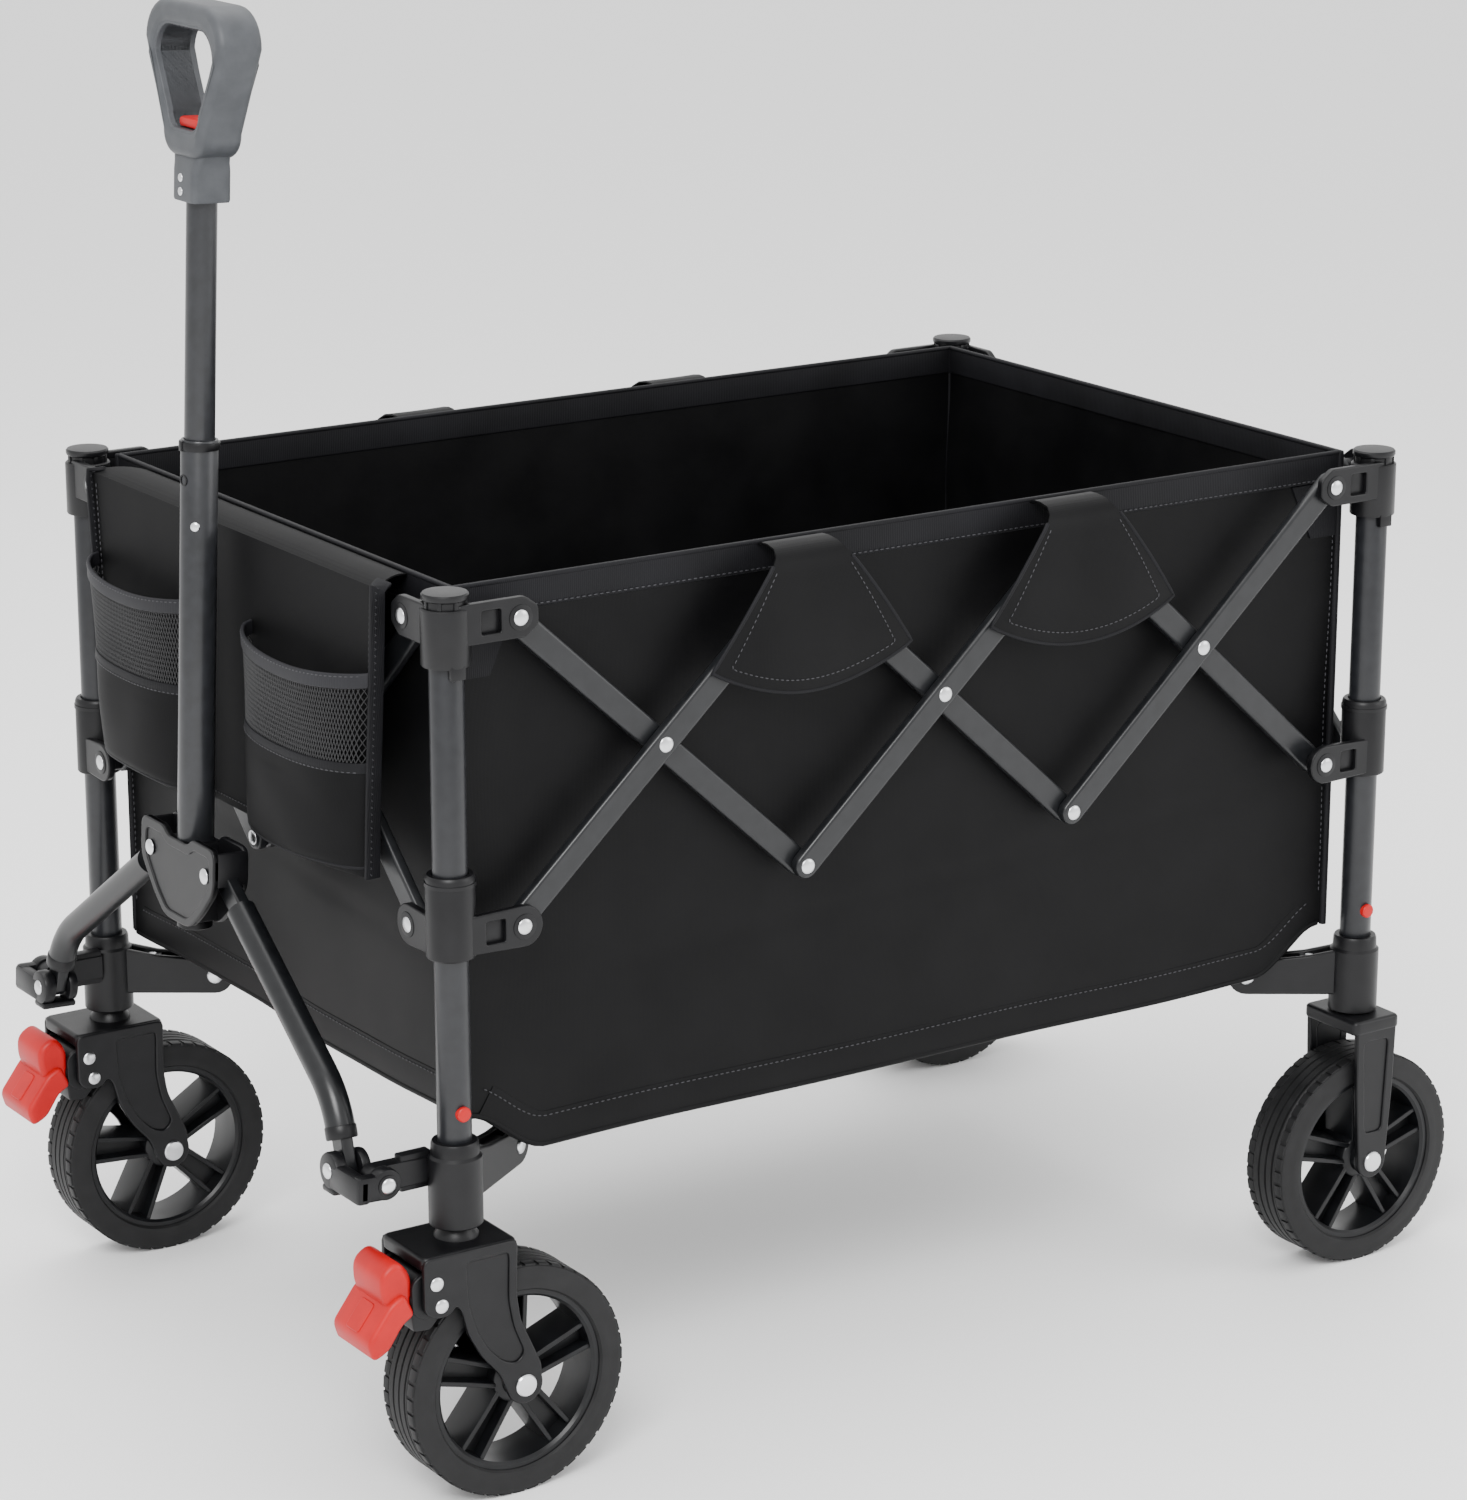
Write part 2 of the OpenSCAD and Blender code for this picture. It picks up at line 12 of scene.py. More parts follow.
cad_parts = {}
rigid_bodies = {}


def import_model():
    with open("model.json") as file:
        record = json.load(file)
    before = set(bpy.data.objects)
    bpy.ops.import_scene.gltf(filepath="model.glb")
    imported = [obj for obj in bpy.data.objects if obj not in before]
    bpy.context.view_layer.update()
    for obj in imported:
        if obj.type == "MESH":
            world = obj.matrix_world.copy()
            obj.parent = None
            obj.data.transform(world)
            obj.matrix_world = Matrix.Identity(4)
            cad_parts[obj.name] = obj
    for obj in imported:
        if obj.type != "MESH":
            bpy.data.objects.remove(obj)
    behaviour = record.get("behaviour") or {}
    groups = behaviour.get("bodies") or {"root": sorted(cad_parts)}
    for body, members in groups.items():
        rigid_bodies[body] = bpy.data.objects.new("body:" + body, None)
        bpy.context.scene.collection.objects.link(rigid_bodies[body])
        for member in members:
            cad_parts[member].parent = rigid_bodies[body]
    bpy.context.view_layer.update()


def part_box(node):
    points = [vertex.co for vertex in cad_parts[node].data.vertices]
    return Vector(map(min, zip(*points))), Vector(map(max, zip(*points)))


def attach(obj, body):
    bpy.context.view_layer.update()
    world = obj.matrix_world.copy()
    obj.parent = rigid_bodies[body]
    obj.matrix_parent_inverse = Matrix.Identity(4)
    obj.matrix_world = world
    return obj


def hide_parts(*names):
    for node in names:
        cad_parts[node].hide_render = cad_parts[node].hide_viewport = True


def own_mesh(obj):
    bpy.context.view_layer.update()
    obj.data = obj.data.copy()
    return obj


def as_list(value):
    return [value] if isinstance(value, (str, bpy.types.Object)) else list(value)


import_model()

# %% [markdown]
# ## Sizes
# The numbers that more than one cell needs, in millimetres. Meshes are built in millimetres and
# scaled once, when the object is made.

# %% Shared sizes
# one scissor cell, and how far the last rivet stands from the post on a side and on an end
CELL, REACH_S, REACH_E = 250.0, 52.0, 35.0
HX, HY = (3 * CELL + 2 * REACH_S) / 2, (2 * CELL + 2 * REACH_E) / 2
Z_UP, Z_LOW = 664.0, 436.0
POST_R, WHEEL_R, WHEEL_W, TRAIL = 12.7, 90.0, 47.0, 38.0
Z_CROWN, Z_COLLAR, Z_BASE, Z_TILT, TILT_OUT = 207.0, 216.0, 245.0, 258.0, 58
# how far the inner bars', outer bars' and bracket arms' two faces stand out from the posts' centre plane
IN0, IN1, OUT0, OUT1, ARM0, ARM1 = -9.25, -0.25, 0.25, 9.25, 9.75, 15.75
# the tub's half length, half width and rim
BX, BY, Z_RIM = HX - 16, HY - 20, 683.0
PSI = math.atan2(HY, HX)
CORNERS = {"front_left": (-1, -1), "front_right": (-1, 1), "rear_left": (1, -1), "rear_right": (1, 1)}
print("half length", HX, "half width", HY)

# %% [markdown]
# ## Colour and shader helpers
# Colours are written as sRGB hex and turned linear by one function. `add` puts one node in a
# tree and fills its sockets, so every material below reads as a short list of steps.

# %% Shader helpers
def linear(hex_colour):
    c = [int(hex_colour.lstrip("#")[i:i + 2], 16) / 255 for i in (0, 2, 4)]
    return tuple(x / 12.92 if x <= 0.04045 else ((x + 0.055) / 1.055) ** 2.4 for x in c) + (1.0,)

def add(tree, kind, sockets=None, **props):
    n = tree.nodes.new(kind)
    for k, v in props.items():
        setattr(n, k, v)
    for k, v in (sockets or {}).items():
        if isinstance(v, bpy.types.NodeSocket):
            tree.links.new(v, n.inputs[k])
        else:
            n.inputs[k].default_value = v
    return n

def material(name, colour, rough, metal=0.0, **constants):
    m = bpy.data.materials.new(name)
    m.use_nodes = True
    t = m.node_tree
    b = t.nodes["Principled BSDF"]
    b.inputs["Base Color"].default_value = linear(colour)
    b.inputs["Roughness"].default_value = rough
    b.inputs["Metallic"].default_value = metal
    for k, v in constants.items():
        b.inputs[k.replace("_", " ")].default_value = v
    where = add(t, "ShaderNodeTexCoord").outputs["Object"]
    return m, t, b, where

def speckle(t, where, b, dark, light, size_mm, rough, low=0.35, high=0.65):
    """Colour and roughness that wander between two values over patches of a given size."""
    n = add(t, "ShaderNodeTexNoise", {"Vector": where, "Scale": 1000 / size_mm, "Detail": 4.0})
    r = add(t, "ShaderNodeValToRGB", {"Fac": n.outputs["Fac"]})
    r.color_ramp.elements[0].position, r.color_ramp.elements[1].position = low, high
    r.color_ramp.elements[0].color, r.color_ramp.elements[1].color = linear(dark), linear(light)
    t.links.new(r.outputs["Color"], b.inputs["Base Color"])
    m = add(t, "ShaderNodeMapRange", {"Value": n.outputs["Fac"], "To Min": rough[0], "To Max": rough[1]})
    t.links.new(m.outputs["Result"], b.inputs["Roughness"])

def bump(t, b, height, strength, depth_mm):
    n = add(t, "ShaderNodeBump", {"Height": height, "Strength": strength, "Distance": depth_mm / 1000})
    t.links.new(n.outputs["Normal"], b.inputs["Normal"])

# %% [markdown]
# ## Hard materials
# Powder coat has a fine orange peel, so its highlights break up a little along the tubes.
# Moulded nylon is duller with a spark-eroded grain. Rivets are bright zinc plate.

# %% Metal, plastic and rubber
def coat(name, dark, light, rough):
    m, t, b, w = material(name, dark, rough, Specular_IOR_Level=0.4)
    speckle(t, w, b, dark, light, 9, (rough - 0.04, rough + 0.05))
    peel = add(t, "ShaderNodeTexNoise", {"Vector": w, "Scale": 900.0, "Detail": 2.0})
    bump(t, b, peel.outputs["Fac"], 0.25, 0.06)
    return m

def grained(name, dark, light, rough, grain_mm=0.5, strength=0.5):
    m, t, b, w = material(name, dark, rough, Specular_IOR_Level=0.28)
    speckle(t, w, b, dark, light, 14, (rough - 0.05, rough + 0.06))
    g = add(t, "ShaderNodeTexVoronoi", {"Vector": w, "Scale": 1000 / grain_mm})
    bump(t, b, g.outputs["Distance"], strength, 0.05)
    return m

POST = coat("post_powder_coat", "#16171a", "#1c1d20", 0.33)
BAR = coat("bar_powder_coat", "#131416", "#191a1c", 0.32)
TUBE = coat("handle_powder_coat", "#1d1e20", "#232427", 0.31)
LEG = coat("leg_powder_coat", "#0c0d0f", "#111214", 0.3)
NYLON = grained("moulded_nylon", "#08080a", "#0e0e10", 0.38)
WHEEL = grained("spoke_plastic", "#0a0a0c", "#101113", 0.33, 0.7, 0.3)
TYRE = grained("tread_rubber", "#0e0e0f", "#161617", 0.58, 0.9, 0.7)
RED = grained("signal_red", "#a80409", "#b1080e", 0.42, 0.6, 0.25)
GRIP = grained("grip_plastic", "#3c3e41", "#444649", 0.46, 0.6, 0.5)
RIVET, _t, _b, _w = material("zinc_rivet", "#d9dadc", 0.28, 1.0)
_n = add(_t, "ShaderNodeTexNoise", {"Vector": _w, "Scale": 700.0})
bump(_t, _b, _n.outputs["Fac"], 0.3, 0.05)
print("hard materials", [m.name for m in (POST, BAR, TUBE, LEG, NYLON, WHEEL, TYRE, RED, GRIP, RIVET)])

# %% [markdown]
# ## Shape helpers
# A shape is a pair (vertices in mm, faces). `plate` lets a filled 2D curve do the hard work: it
# takes an outline with holes, gives it a thickness and rounds every edge.

# %% Shape helpers
def raw(mesh):
    v = np.zeros(len(mesh.vertices) * 3); mesh.vertices.foreach_get("co", v)
    return v.reshape(-1, 3), [tuple(p.vertices) for p in mesh.polygons]

def plate(loops, lo, hi, bevel=0.8, steps=2):
    c = bpy.data.curves.new("tmp", "CURVE")
    c.dimensions, c.fill_mode = "2D", "BOTH"
    for loop in loops:
        s = c.splines.new("POLY"); s.points.add(len(loop) - 1)
        for p, q in zip(s.points, loop):
            p.co = (q[0], q[1], 0, 1)
        s.use_cyclic_u = True
    c.extrude, c.bevel_depth, c.bevel_resolution, c.offset = (hi - lo) / 2 - bevel, bevel, steps, -bevel
    o = bpy.data.objects.new("tmp", c)
    m = bpy.data.meshes.new_from_object(o)
    v, f = raw(m); v[:, 2] += (lo + hi) / 2
    bpy.data.objects.remove(o); bpy.data.curves.remove(c); bpy.data.meshes.remove(m)
    return v, f

def block(lo, hi, bevel=1.0):
    b = bmesh.new(); bmesh.ops.create_cube(b, size=1)
    lo, hi = Vector(lo), Vector(hi)
    for v in b.verts:
        v.co = Vector(((lo[i] + hi[i]) / 2 + v.co[i] * (hi[i] - lo[i])) for i in range(3))
    if bevel:
        bmesh.ops.bevel(b, geom=list(b.edges), offset=bevel, segments=2, profile=0.5, affect="EDGES")
    m = bpy.data.meshes.new("tmp"); b.to_mesh(m); b.free()
    out = raw(m); bpy.data.meshes.remove(m)
    return out

def lathe(profile, n=48, closed=False):
    """Turns (radius, height) points about Z. A closed profile makes a ring."""
    v = np.array([(r * math.cos(2 * math.pi * i / n), r * math.sin(2 * math.pi * i / n), z)
                  for i in range(n) for r, z in profile])
    k = len(profile); f = []
    for i in range(n):
        j = (i + 1) % n
        for a in range(k if closed else k - 1):
            b = (a + 1) % k
            f.append((i * k + a, j * k + a, j * k + b, i * k + b))
    if not closed:
        f.append(tuple(i * k for i in range(n))[::-1]); f.append(tuple(i * k + k - 1 for i in range(n)))
    return v, f

def cyl(r, a, b, n=40, bevel=0.6):
    e = min(bevel, r * 0.4, (b - a) * 0.4)
    return lathe([(r - e, a), (r - 0.3 * e, a + 0.3 * e), (r, a + e), (r, b - e),
                  (r - 0.3 * e, b - 0.3 * e), (r - e, b)], n)

def sweep(path, section, closed=False, up=(0, 0, 1)):
    """Carries a 2D section along a path; section(i) gives the points at step i."""
    p = np.array(path, float); n = len(p); v, f = [], []
    for i in range(n):
        a = p[(i + 1) % n] if closed or i < n - 1 else p[i]
        b = p[i - 1] if closed or i > 0 else p[i]
        t = (a - b) / np.linalg.norm(a - b)
        s = np.cross(up, t); s /= np.linalg.norm(s); w = np.cross(t, s)
        q = section(i) if callable(section) else section
        v += [p[i] + x * s + y * w for x, y in q]
    k = len(q)
    for i in range(n if closed else n - 1):
        j = (i + 1) % n
        f += [(i * k + a, i * k + (a + 1) % k, j * k + (a + 1) % k, j * k + a) for a in range(k)]
    if not closed:
        f += [tuple(range(k))[::-1], tuple((n - 1) * k + a for a in range(k))]
    return np.array(v), f

def ring(r, n=20):
    return [(r * math.cos(2 * math.pi * i / n), r * math.sin(2 * math.pi * i / n)) for i in range(n)]

def arc(cx, cy, r, a0, a1, n=8):
    return [(cx + r * math.cos(math.radians(a0 + (a1 - a0) * i / n)),
             cy + r * math.sin(math.radians(a0 + (a1 - a0) * i / n))) for i in range(n + 1)]

def stadium(p, q, r, n=8):
    a = math.degrees(math.atan2(q[1] - p[1], q[0] - p[0]))
    return arc(q[0], q[1], r, a - 90, a + 90, n) + arc(p[0], p[1], r, a + 90, a + 270, n)

def rounded(points, r, n=4):
    """A polygon with its corners rounded."""
    out, k = [], len(points)
    for i in range(k):
        p0, p1, p2 = (np.array(points[j % k], float) for j in (i - 1, i, i + 1))
        a, b = p0 - p1, p2 - p1
        d = min(r, 0.45 * np.linalg.norm(a), 0.45 * np.linalg.norm(b))
        a, b = p1 + a / np.linalg.norm(a) * d, p1 + b / np.linalg.norm(b) * d
        out += [tuple((1 - t) ** 2 * a + 2 * t * (1 - t) * p1 + t * t * b) for t in np.linspace(0, 1, n)]
    return out

def oblong(half_x, half_y, r, n=4):
    """A rounded rectangle about the origin."""
    return rounded([(-half_x, -half_y), (half_x, -half_y), (half_x, half_y), (-half_x, half_y)], r, n)

def moved(shape, m):
    v, f = shape
    m = np.array(m, float)
    v = v @ m[:3, :3].T + m[:3, 3]
    return v, ([t[::-1] for t in f] if np.linalg.det(m[:3, :3]) < 0 else f)

def joined(shapes):
    v, f, n = [], [], 0
    for a, b in shapes:
        v.append(a); f += [tuple(i + n for i in t) for t in b]; n += len(a)
    return np.vstack(v), f

def T(x, y, z): return Matrix.Translation((x, y, z))
def R(deg, axis): return Matrix.Rotation(math.radians(deg), 4, axis)
def M(*rows): return Matrix(rows + ((0, 0, 0, 1),))
def upright(s, z=0): return M((1, 0, 0, 0), (0, 0, s, 0), (0, 1, 0, z))   # stands an outline up, facing s * Y
def spot(m, x, y, z): return tuple(m @ Vector((x, y, z)))
def side(s): return M((1, 0, 0, 0), (0, 0, s, s * HY), (0, 1, 0, 0))
def end(s): return M((0, 0, s, s * HX), (1, 0, 0, 0), (0, 1, 0, 0))
def corner(sx, sy): return M((-sx, 0, 0, sx * HX), (0, -sy, 0, sy * HY), (0, 0, 1, 0))
LEAN = T(-HX - TILT_OUT, 0, Z_TILT) @ R(2.7, "Y")                # the handle leans 2.7 degrees to the rear
YZ = M((0, 0, 1, 0), (1, 0, 0, 0), (0, 1, 0, 0))

# %% [markdown]
# `piece` is the one place where a shape becomes an object: it scales to metres, gives the
# finish, marks hard edges, ties it to its body and hides the CAD nodes it stands in for.

# %% Making a piece
count = {"pieces": 0, "tris": 0}

def piece(name, shapes, mat, body, nodes=(), smooth=38):
    v, f = joined(shapes if isinstance(shapes, list) else [shapes])
    m = bpy.data.meshes.new(name)
    m.from_pydata([tuple(x) for x in v / 1000], [], f)
    b = bmesh.new(); b.from_mesh(m)
    bmesh.ops.recalc_face_normals(b, faces=b.faces); b.to_mesh(m); b.free()
    m.polygons.foreach_set("use_smooth", [True] * len(m.polygons))
    m.set_sharp_from_angle(angle=math.radians(smooth))
    m.materials.append(mat)
    o = bpy.data.objects.new(name, m)
    bpy.context.scene.collection.objects.link(o)
    if body:
        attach(o, body)
    if nodes:
        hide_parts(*nodes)
    count["pieces"] += 1; count["tris"] += sum(len(t) - 2 for t in f)
    return o

# %% [markdown]
# ## Rivets
# Every joint of the frame shows a domed rivet head. One Geometry Nodes tree places a head on each
# point of a small mesh and turns it along the point's normal; its radius is a named input.

# %% The rivet tree
def new_tree(name, numbers, finish):
    """An empty tree with a geometry input, some named numbers and a material input."""
    g = bpy.data.node_groups.new(name, "GeometryNodeTree")
    g.interface.new_socket("Geometry", in_out="INPUT", socket_type="NodeSocketGeometry")
    for label, v in numbers.items():
        kind = "NodeSocketInt" if isinstance(v, int) else "NodeSocketFloat"
        g.interface.new_socket(label, in_out="INPUT", socket_type=kind).default_value = v
    g.interface.new_socket(finish, in_out="INPUT", socket_type="NodeSocketMaterial")
    g.interface.new_socket("Geometry", in_out="OUTPUT", socket_type="NodeSocketGeometry")
    return g, add(g, "NodeGroupInput"), add(g, "NodeGroupOutput")

def rivet_tree():
    g, i, o = new_tree("rivet_heads", {"Radius": 0.006, "Height": 0.0017}, "Head")
    # a dome: a sphere flattened to the head's height, its lower half buried in the bar
    ball = add(g, "GeometryNodeMeshUVSphere", {"Segments": 24, "Rings": 12, "Radius": 1.0})
    size = add(g, "ShaderNodeCombineXYZ",
               {"X": i.outputs["Radius"], "Y": i.outputs["Radius"], "Z": i.outputs["Height"]})
    dome = add(g, "GeometryNodeTransform",
               {"Geometry": ball.outputs["Mesh"], "Scale": size.outputs["Vector"]})
    normal = add(g, "GeometryNodeInputNamedAttribute", {"Name": "facing"}, data_type="FLOAT_VECTOR")
    turn = add(g, "FunctionNodeAlignRotationToVector", {"Vector": normal.outputs["Attribute"]})
    put = add(g, "GeometryNodeInstanceOnPoints",
              {"Points": i.outputs["Geometry"], "Instance": dome.outputs["Geometry"],
               "Rotation": turn.outputs["Rotation"]})
    real = add(g, "GeometryNodeRealizeInstances", {"Geometry": put.outputs["Instances"]})
    done = add(g, "GeometryNodeSetMaterial",
               {"Geometry": real.outputs["Geometry"], "Material": i.outputs["Head"]})
    smooth = add(g, "GeometryNodeSetShadeSmooth", {"Geometry": done.outputs["Geometry"]})
    g.links.new(smooth.outputs["Geometry"], o.inputs["Geometry"])
    return g

def baked(obj, tree, values, mat):
    """Runs a Geometry Nodes tree on obj once and keeps the result as a plain mesh."""
    mod = obj.modifiers.new("nodes", "NODES"); mod.node_group = tree
    ids = {s.name: s.identifier for s in tree.interface.items_tree
           if s.item_type == "SOCKET" and s.in_out == "INPUT"}
    for k, v in values.items():
        mod[ids[k]] = v
    bpy.context.view_layer.update()
    new = bpy.data.meshes.new_from_object(obj.evaluated_get(bpy.context.evaluated_depsgraph_get()))
    obj.modifiers.clear()
    obj.data = new
    if not len(new.materials):
        new.materials.append(mat)
    return obj

RIVETS = rivet_tree()

def rivets(name, spots, body, radius=6.0, height=1.75):
    """spots: list of (point in mm, direction the head faces)."""
    m = bpy.data.meshes.new(name)
    m.from_pydata([tuple(np.array(p) / 1000) for p, _ in spots], [], [])
    a = m.attributes.new("facing", "FLOAT_VECTOR", "POINT")
    a.data.foreach_set("vector", [c for _, d in spots for c in d])
    o = bpy.data.objects.new(name, m)
    bpy.context.scene.collection.objects.link(o)
    baked(o, RIVETS, {"Radius": radius / 1000, "Height": height / 1000, "Head": RIVET}, RIVET)
    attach(o, body)
    count["pieces"] += 1

def facing(m, z=1):
    v = m.to_3x3() @ Vector((0, 0, z)); return tuple(v.normalized())

# %% [markdown]
# ## Scissor bars
# Flat oval steel bars in two layers: the outer layer rises towards the rear, the inner one falls.
# Each bar is a beveled stadium; the outer bars carry the rivet heads on both faces.

# %% Bars on the four sides
def flat_bar(p, q, lo, hi, m):
    return moved(plate([stadium(p, q, 10, 10)], lo, hi, 2.6, 3), m)

def crossing(label, m, start, i, n):
    x0, x1 = start + i * CELL, start + (i + 1) * CELL
    lo, hi, mid = (x0, Z_LOW), (x1, Z_UP), ((x0 + x1) / 2, (Z_LOW + Z_UP) / 2)
    ob, ib = f"{label}_outer_bar_{i + 1}", f"{label}_inner_bar_{i + 1}"
    piece(ob + "_tube", flat_bar(lo, hi, OUT0, OUT1, m), BAR, ob, [ob])
    piece(ib + "_tube", flat_bar((x0, Z_UP), (x1, Z_LOW), IN0, IN1, m), BAR, ib, [ib])
    spots = []
    def put(p, t, z): spots.append((spot(m, p[0], p[1], t), facing(m, z)))
    for p, is_end in ((mid, False), (lo, i == 0), (hi, i == n - 1)):
        if is_end:
            put(p, ARM1 + 0.2, 1)
        else:
            put(p, OUT1 - 0.1, 1); put(p, IN0 - 0.2, -1)
    rivets(ob + "_rivets", spots, ob)

for s, label in ((-1, "left"), (1, "right")):
    for i in range(3):
        crossing(label, side(s), REACH_S - HX, i, 3)
for s, label in ((-1, "front"), (1, "rear")):
    for i in range(2):
        crossing(label, end(s), REACH_E - HY, i, 2)
print("after the bars", count)

# %% [markdown]
# ## Posts and brackets
# The posts are powder coated tube. The fixed top bracket and the sliding bracket are black
# mouldings: a sleeve on the post, and two arms whose windows leave ribs beside the rivet boss.

# %% Posts, brackets, caps and buttons
ARM_SIDE = upright(-1)
ARM_END = M((0, 0, -1, 0), (1, 0, 0, 0), (0, 1, 0, 0))

def window(u0, u1, h): return rounded([(u0, -h), (u1, -h), (u1, h), (u0, h)], 1.6)[::-1]

def arm(reach, chamfer, inner):
    if chamfer:
        rim = rounded([(2, -15), (reach + 4, -15), (reach + 15, -7), (reach + 15, 7), (reach + 4, 15),
                       (2, 15)], 3)
    else:
        rim = [(2, -14)] + arc(reach, 0, 15.5, -90, 90, 14) + [(2, 14)]
    holes = [window(20.5, reach - 15.5, 8.5)] if reach > 45 else []
    out = [plate([rim] + holes, ARM0, ARM1, 1.2)]
    if holes:                                  # the web at the back of the window, and its two ribs
        out.append(block((19, -10, ARM0 + 0.3), (reach - 14, 10, ARM0 + 2.2), 0.3))
    out.append(moved(cyl(9.5, ARM1 - 1, ARM1 + 0.6, 32, 0.5), T(reach, 0, 0)))
    out.append(block((0, -15, 4), (13, 15, ARM1 - 0.4), 1.5))
    if inner:
        out.append(moved(cyl(8, 0.05, ARM0 + 1, 28, 0.4), T(reach, 0, 0)))
    return out

# whether the top bracket's side arm and end arm hold an inner bar; the sliding bracket is the reverse
KIND = {"front_left": (True, True), "front_right": (True, False), "rear_left": (False, True),
        "rear_right": (False, False)}

def arms(c, z, chamfer, side_inner, end_inner):
    out = []
    for place, reach, inner in ((ARM_SIDE, REACH_S, side_inner), (ARM_END, REACH_E, end_inner)):
        out += [moved(a, c @ T(0, 0, z) @ place) for a in arm(reach, chamfer, inner)]
    return out

def bracket_rivets(name, c, z, side_inner, end_inner, body):
    spots = []
    for place, reach, inner in ((ARM_SIDE, REACH_S, side_inner), (ARM_END, REACH_E, end_inner)):
        m = c @ T(0, 0, z) @ place
        if inner:
            spots += [(spot(m, reach, 0, ARM1 + 0.5), facing(m)),
                      (spot(m, reach, 0, IN0 - 0.2), facing(m, -1))]
    if spots:
        rivets(name, spots, body)

for name, (sx, sy) in CORNERS.items():
    c, body, (si, ei) = corner(sx, sy), "post_" + name, KIND[name]
    piece("post_tube_" + name, moved(cyl(POST_R, Z_COLLAR + 40, Z_UP + 15.5, 56), c), POST, body,
          ["post_" + name])
    sleeve = lathe([(14.2, Z_UP - 30), (17.4, Z_UP - 30), (18, Z_UP - 29), (18, Z_UP + 11), (17, Z_UP + 12),
                    (15.2, Z_UP + 12)], 48)
    cap = lathe([(15, Z_UP + 11), (15, Z_RIM - 2), (16.2, Z_RIM - 1.4), (17, Z_RIM), (17, Z_RIM + 2.4),
                 (16, Z_RIM + 3.6), (11, Z_RIM + 4), (0.5, Z_RIM + 4)], 56)
    ribs = [moved(block((13.6, -1.6, Z_UP + 11), (16, 1.6, Z_RIM - 1), 0.3), R(a, "Z"))
            for a in range(0, 360, 45)]
    tab = block((-6, -17.6, Z_UP - 38), (6, -12.9, Z_UP - 28), 0.8)
    shapes = [moved(x, c) for x in [sleeve, cap, tab] + ribs] + arms(c, Z_UP, True, si, ei)
    piece("top_bracket_" + name, shapes, NYLON, body)
    bracket_rivets("top_rivets_" + name, c, Z_UP, si, ei, body)
    # red snap button in its black collar
    out = c @ T(0, 0, Z_COLLAR + 87) @ R(90, "X")
    piece("snap_button_" + name, moved(lathe([(5.6, 9), (5.6, 14.8), (4.9, 15.6), (2.5, 16), (0.3, 16.1)],
                                             32), out), RED, body)
    slide = lathe([(13.5, Z_LOW - 17), (17.2, Z_LOW - 17), (18, Z_LOW - 16), (18, Z_LOW + 42),
                   (17.4, Z_LOW + 44), (16.6, Z_LOW + 45), (13.5, Z_LOW + 45)], 48, True)
    lip = lathe([(13.6, Z_LOW + 36), (18.7, Z_LOW + 36.5), (18.7, Z_LOW + 39.5), (13.6, Z_LOW + 40)], 48,
                True)
    piece("sliding_bracket_" + name,
          [moved(slide, c), moved(lip, c)] + arms(c, Z_LOW, False, not si, not ei), NYLON, "slider_" + name,
          ["slider_" + name])
    bracket_rivets("slider_rivets_" + name, c, Z_LOW, not si, not ei, "slider_" + name)
print("after the brackets", count)

# %% [markdown]
# ## Base brackets and rear forks
# At the foot of each post a collar holds the diagonal arm of the umbrella strut, between two
# cheeks. In front it also carries the handle's lug; at the rear it runs down into a fixed fork.

# %% Base brackets
FORK_IN, FORK_OUT = WHEEL_W / 2 + 3.5, WHEEL_W / 2 + 8.5
ARM_END_R, HUB_R, RISE = 89, 80, 3      # strut's two pins, from the post and from the middle, and its slope
DIAG = upright(-1, Z_BASE)

def blade(loops, s, lo=FORK_IN, hi=FORK_OUT, bevel=1.2):
    """A plate in the XZ plane of a wheel, on side s of it."""
    return moved(plate(loops, lo, hi, bevel), upright(s))

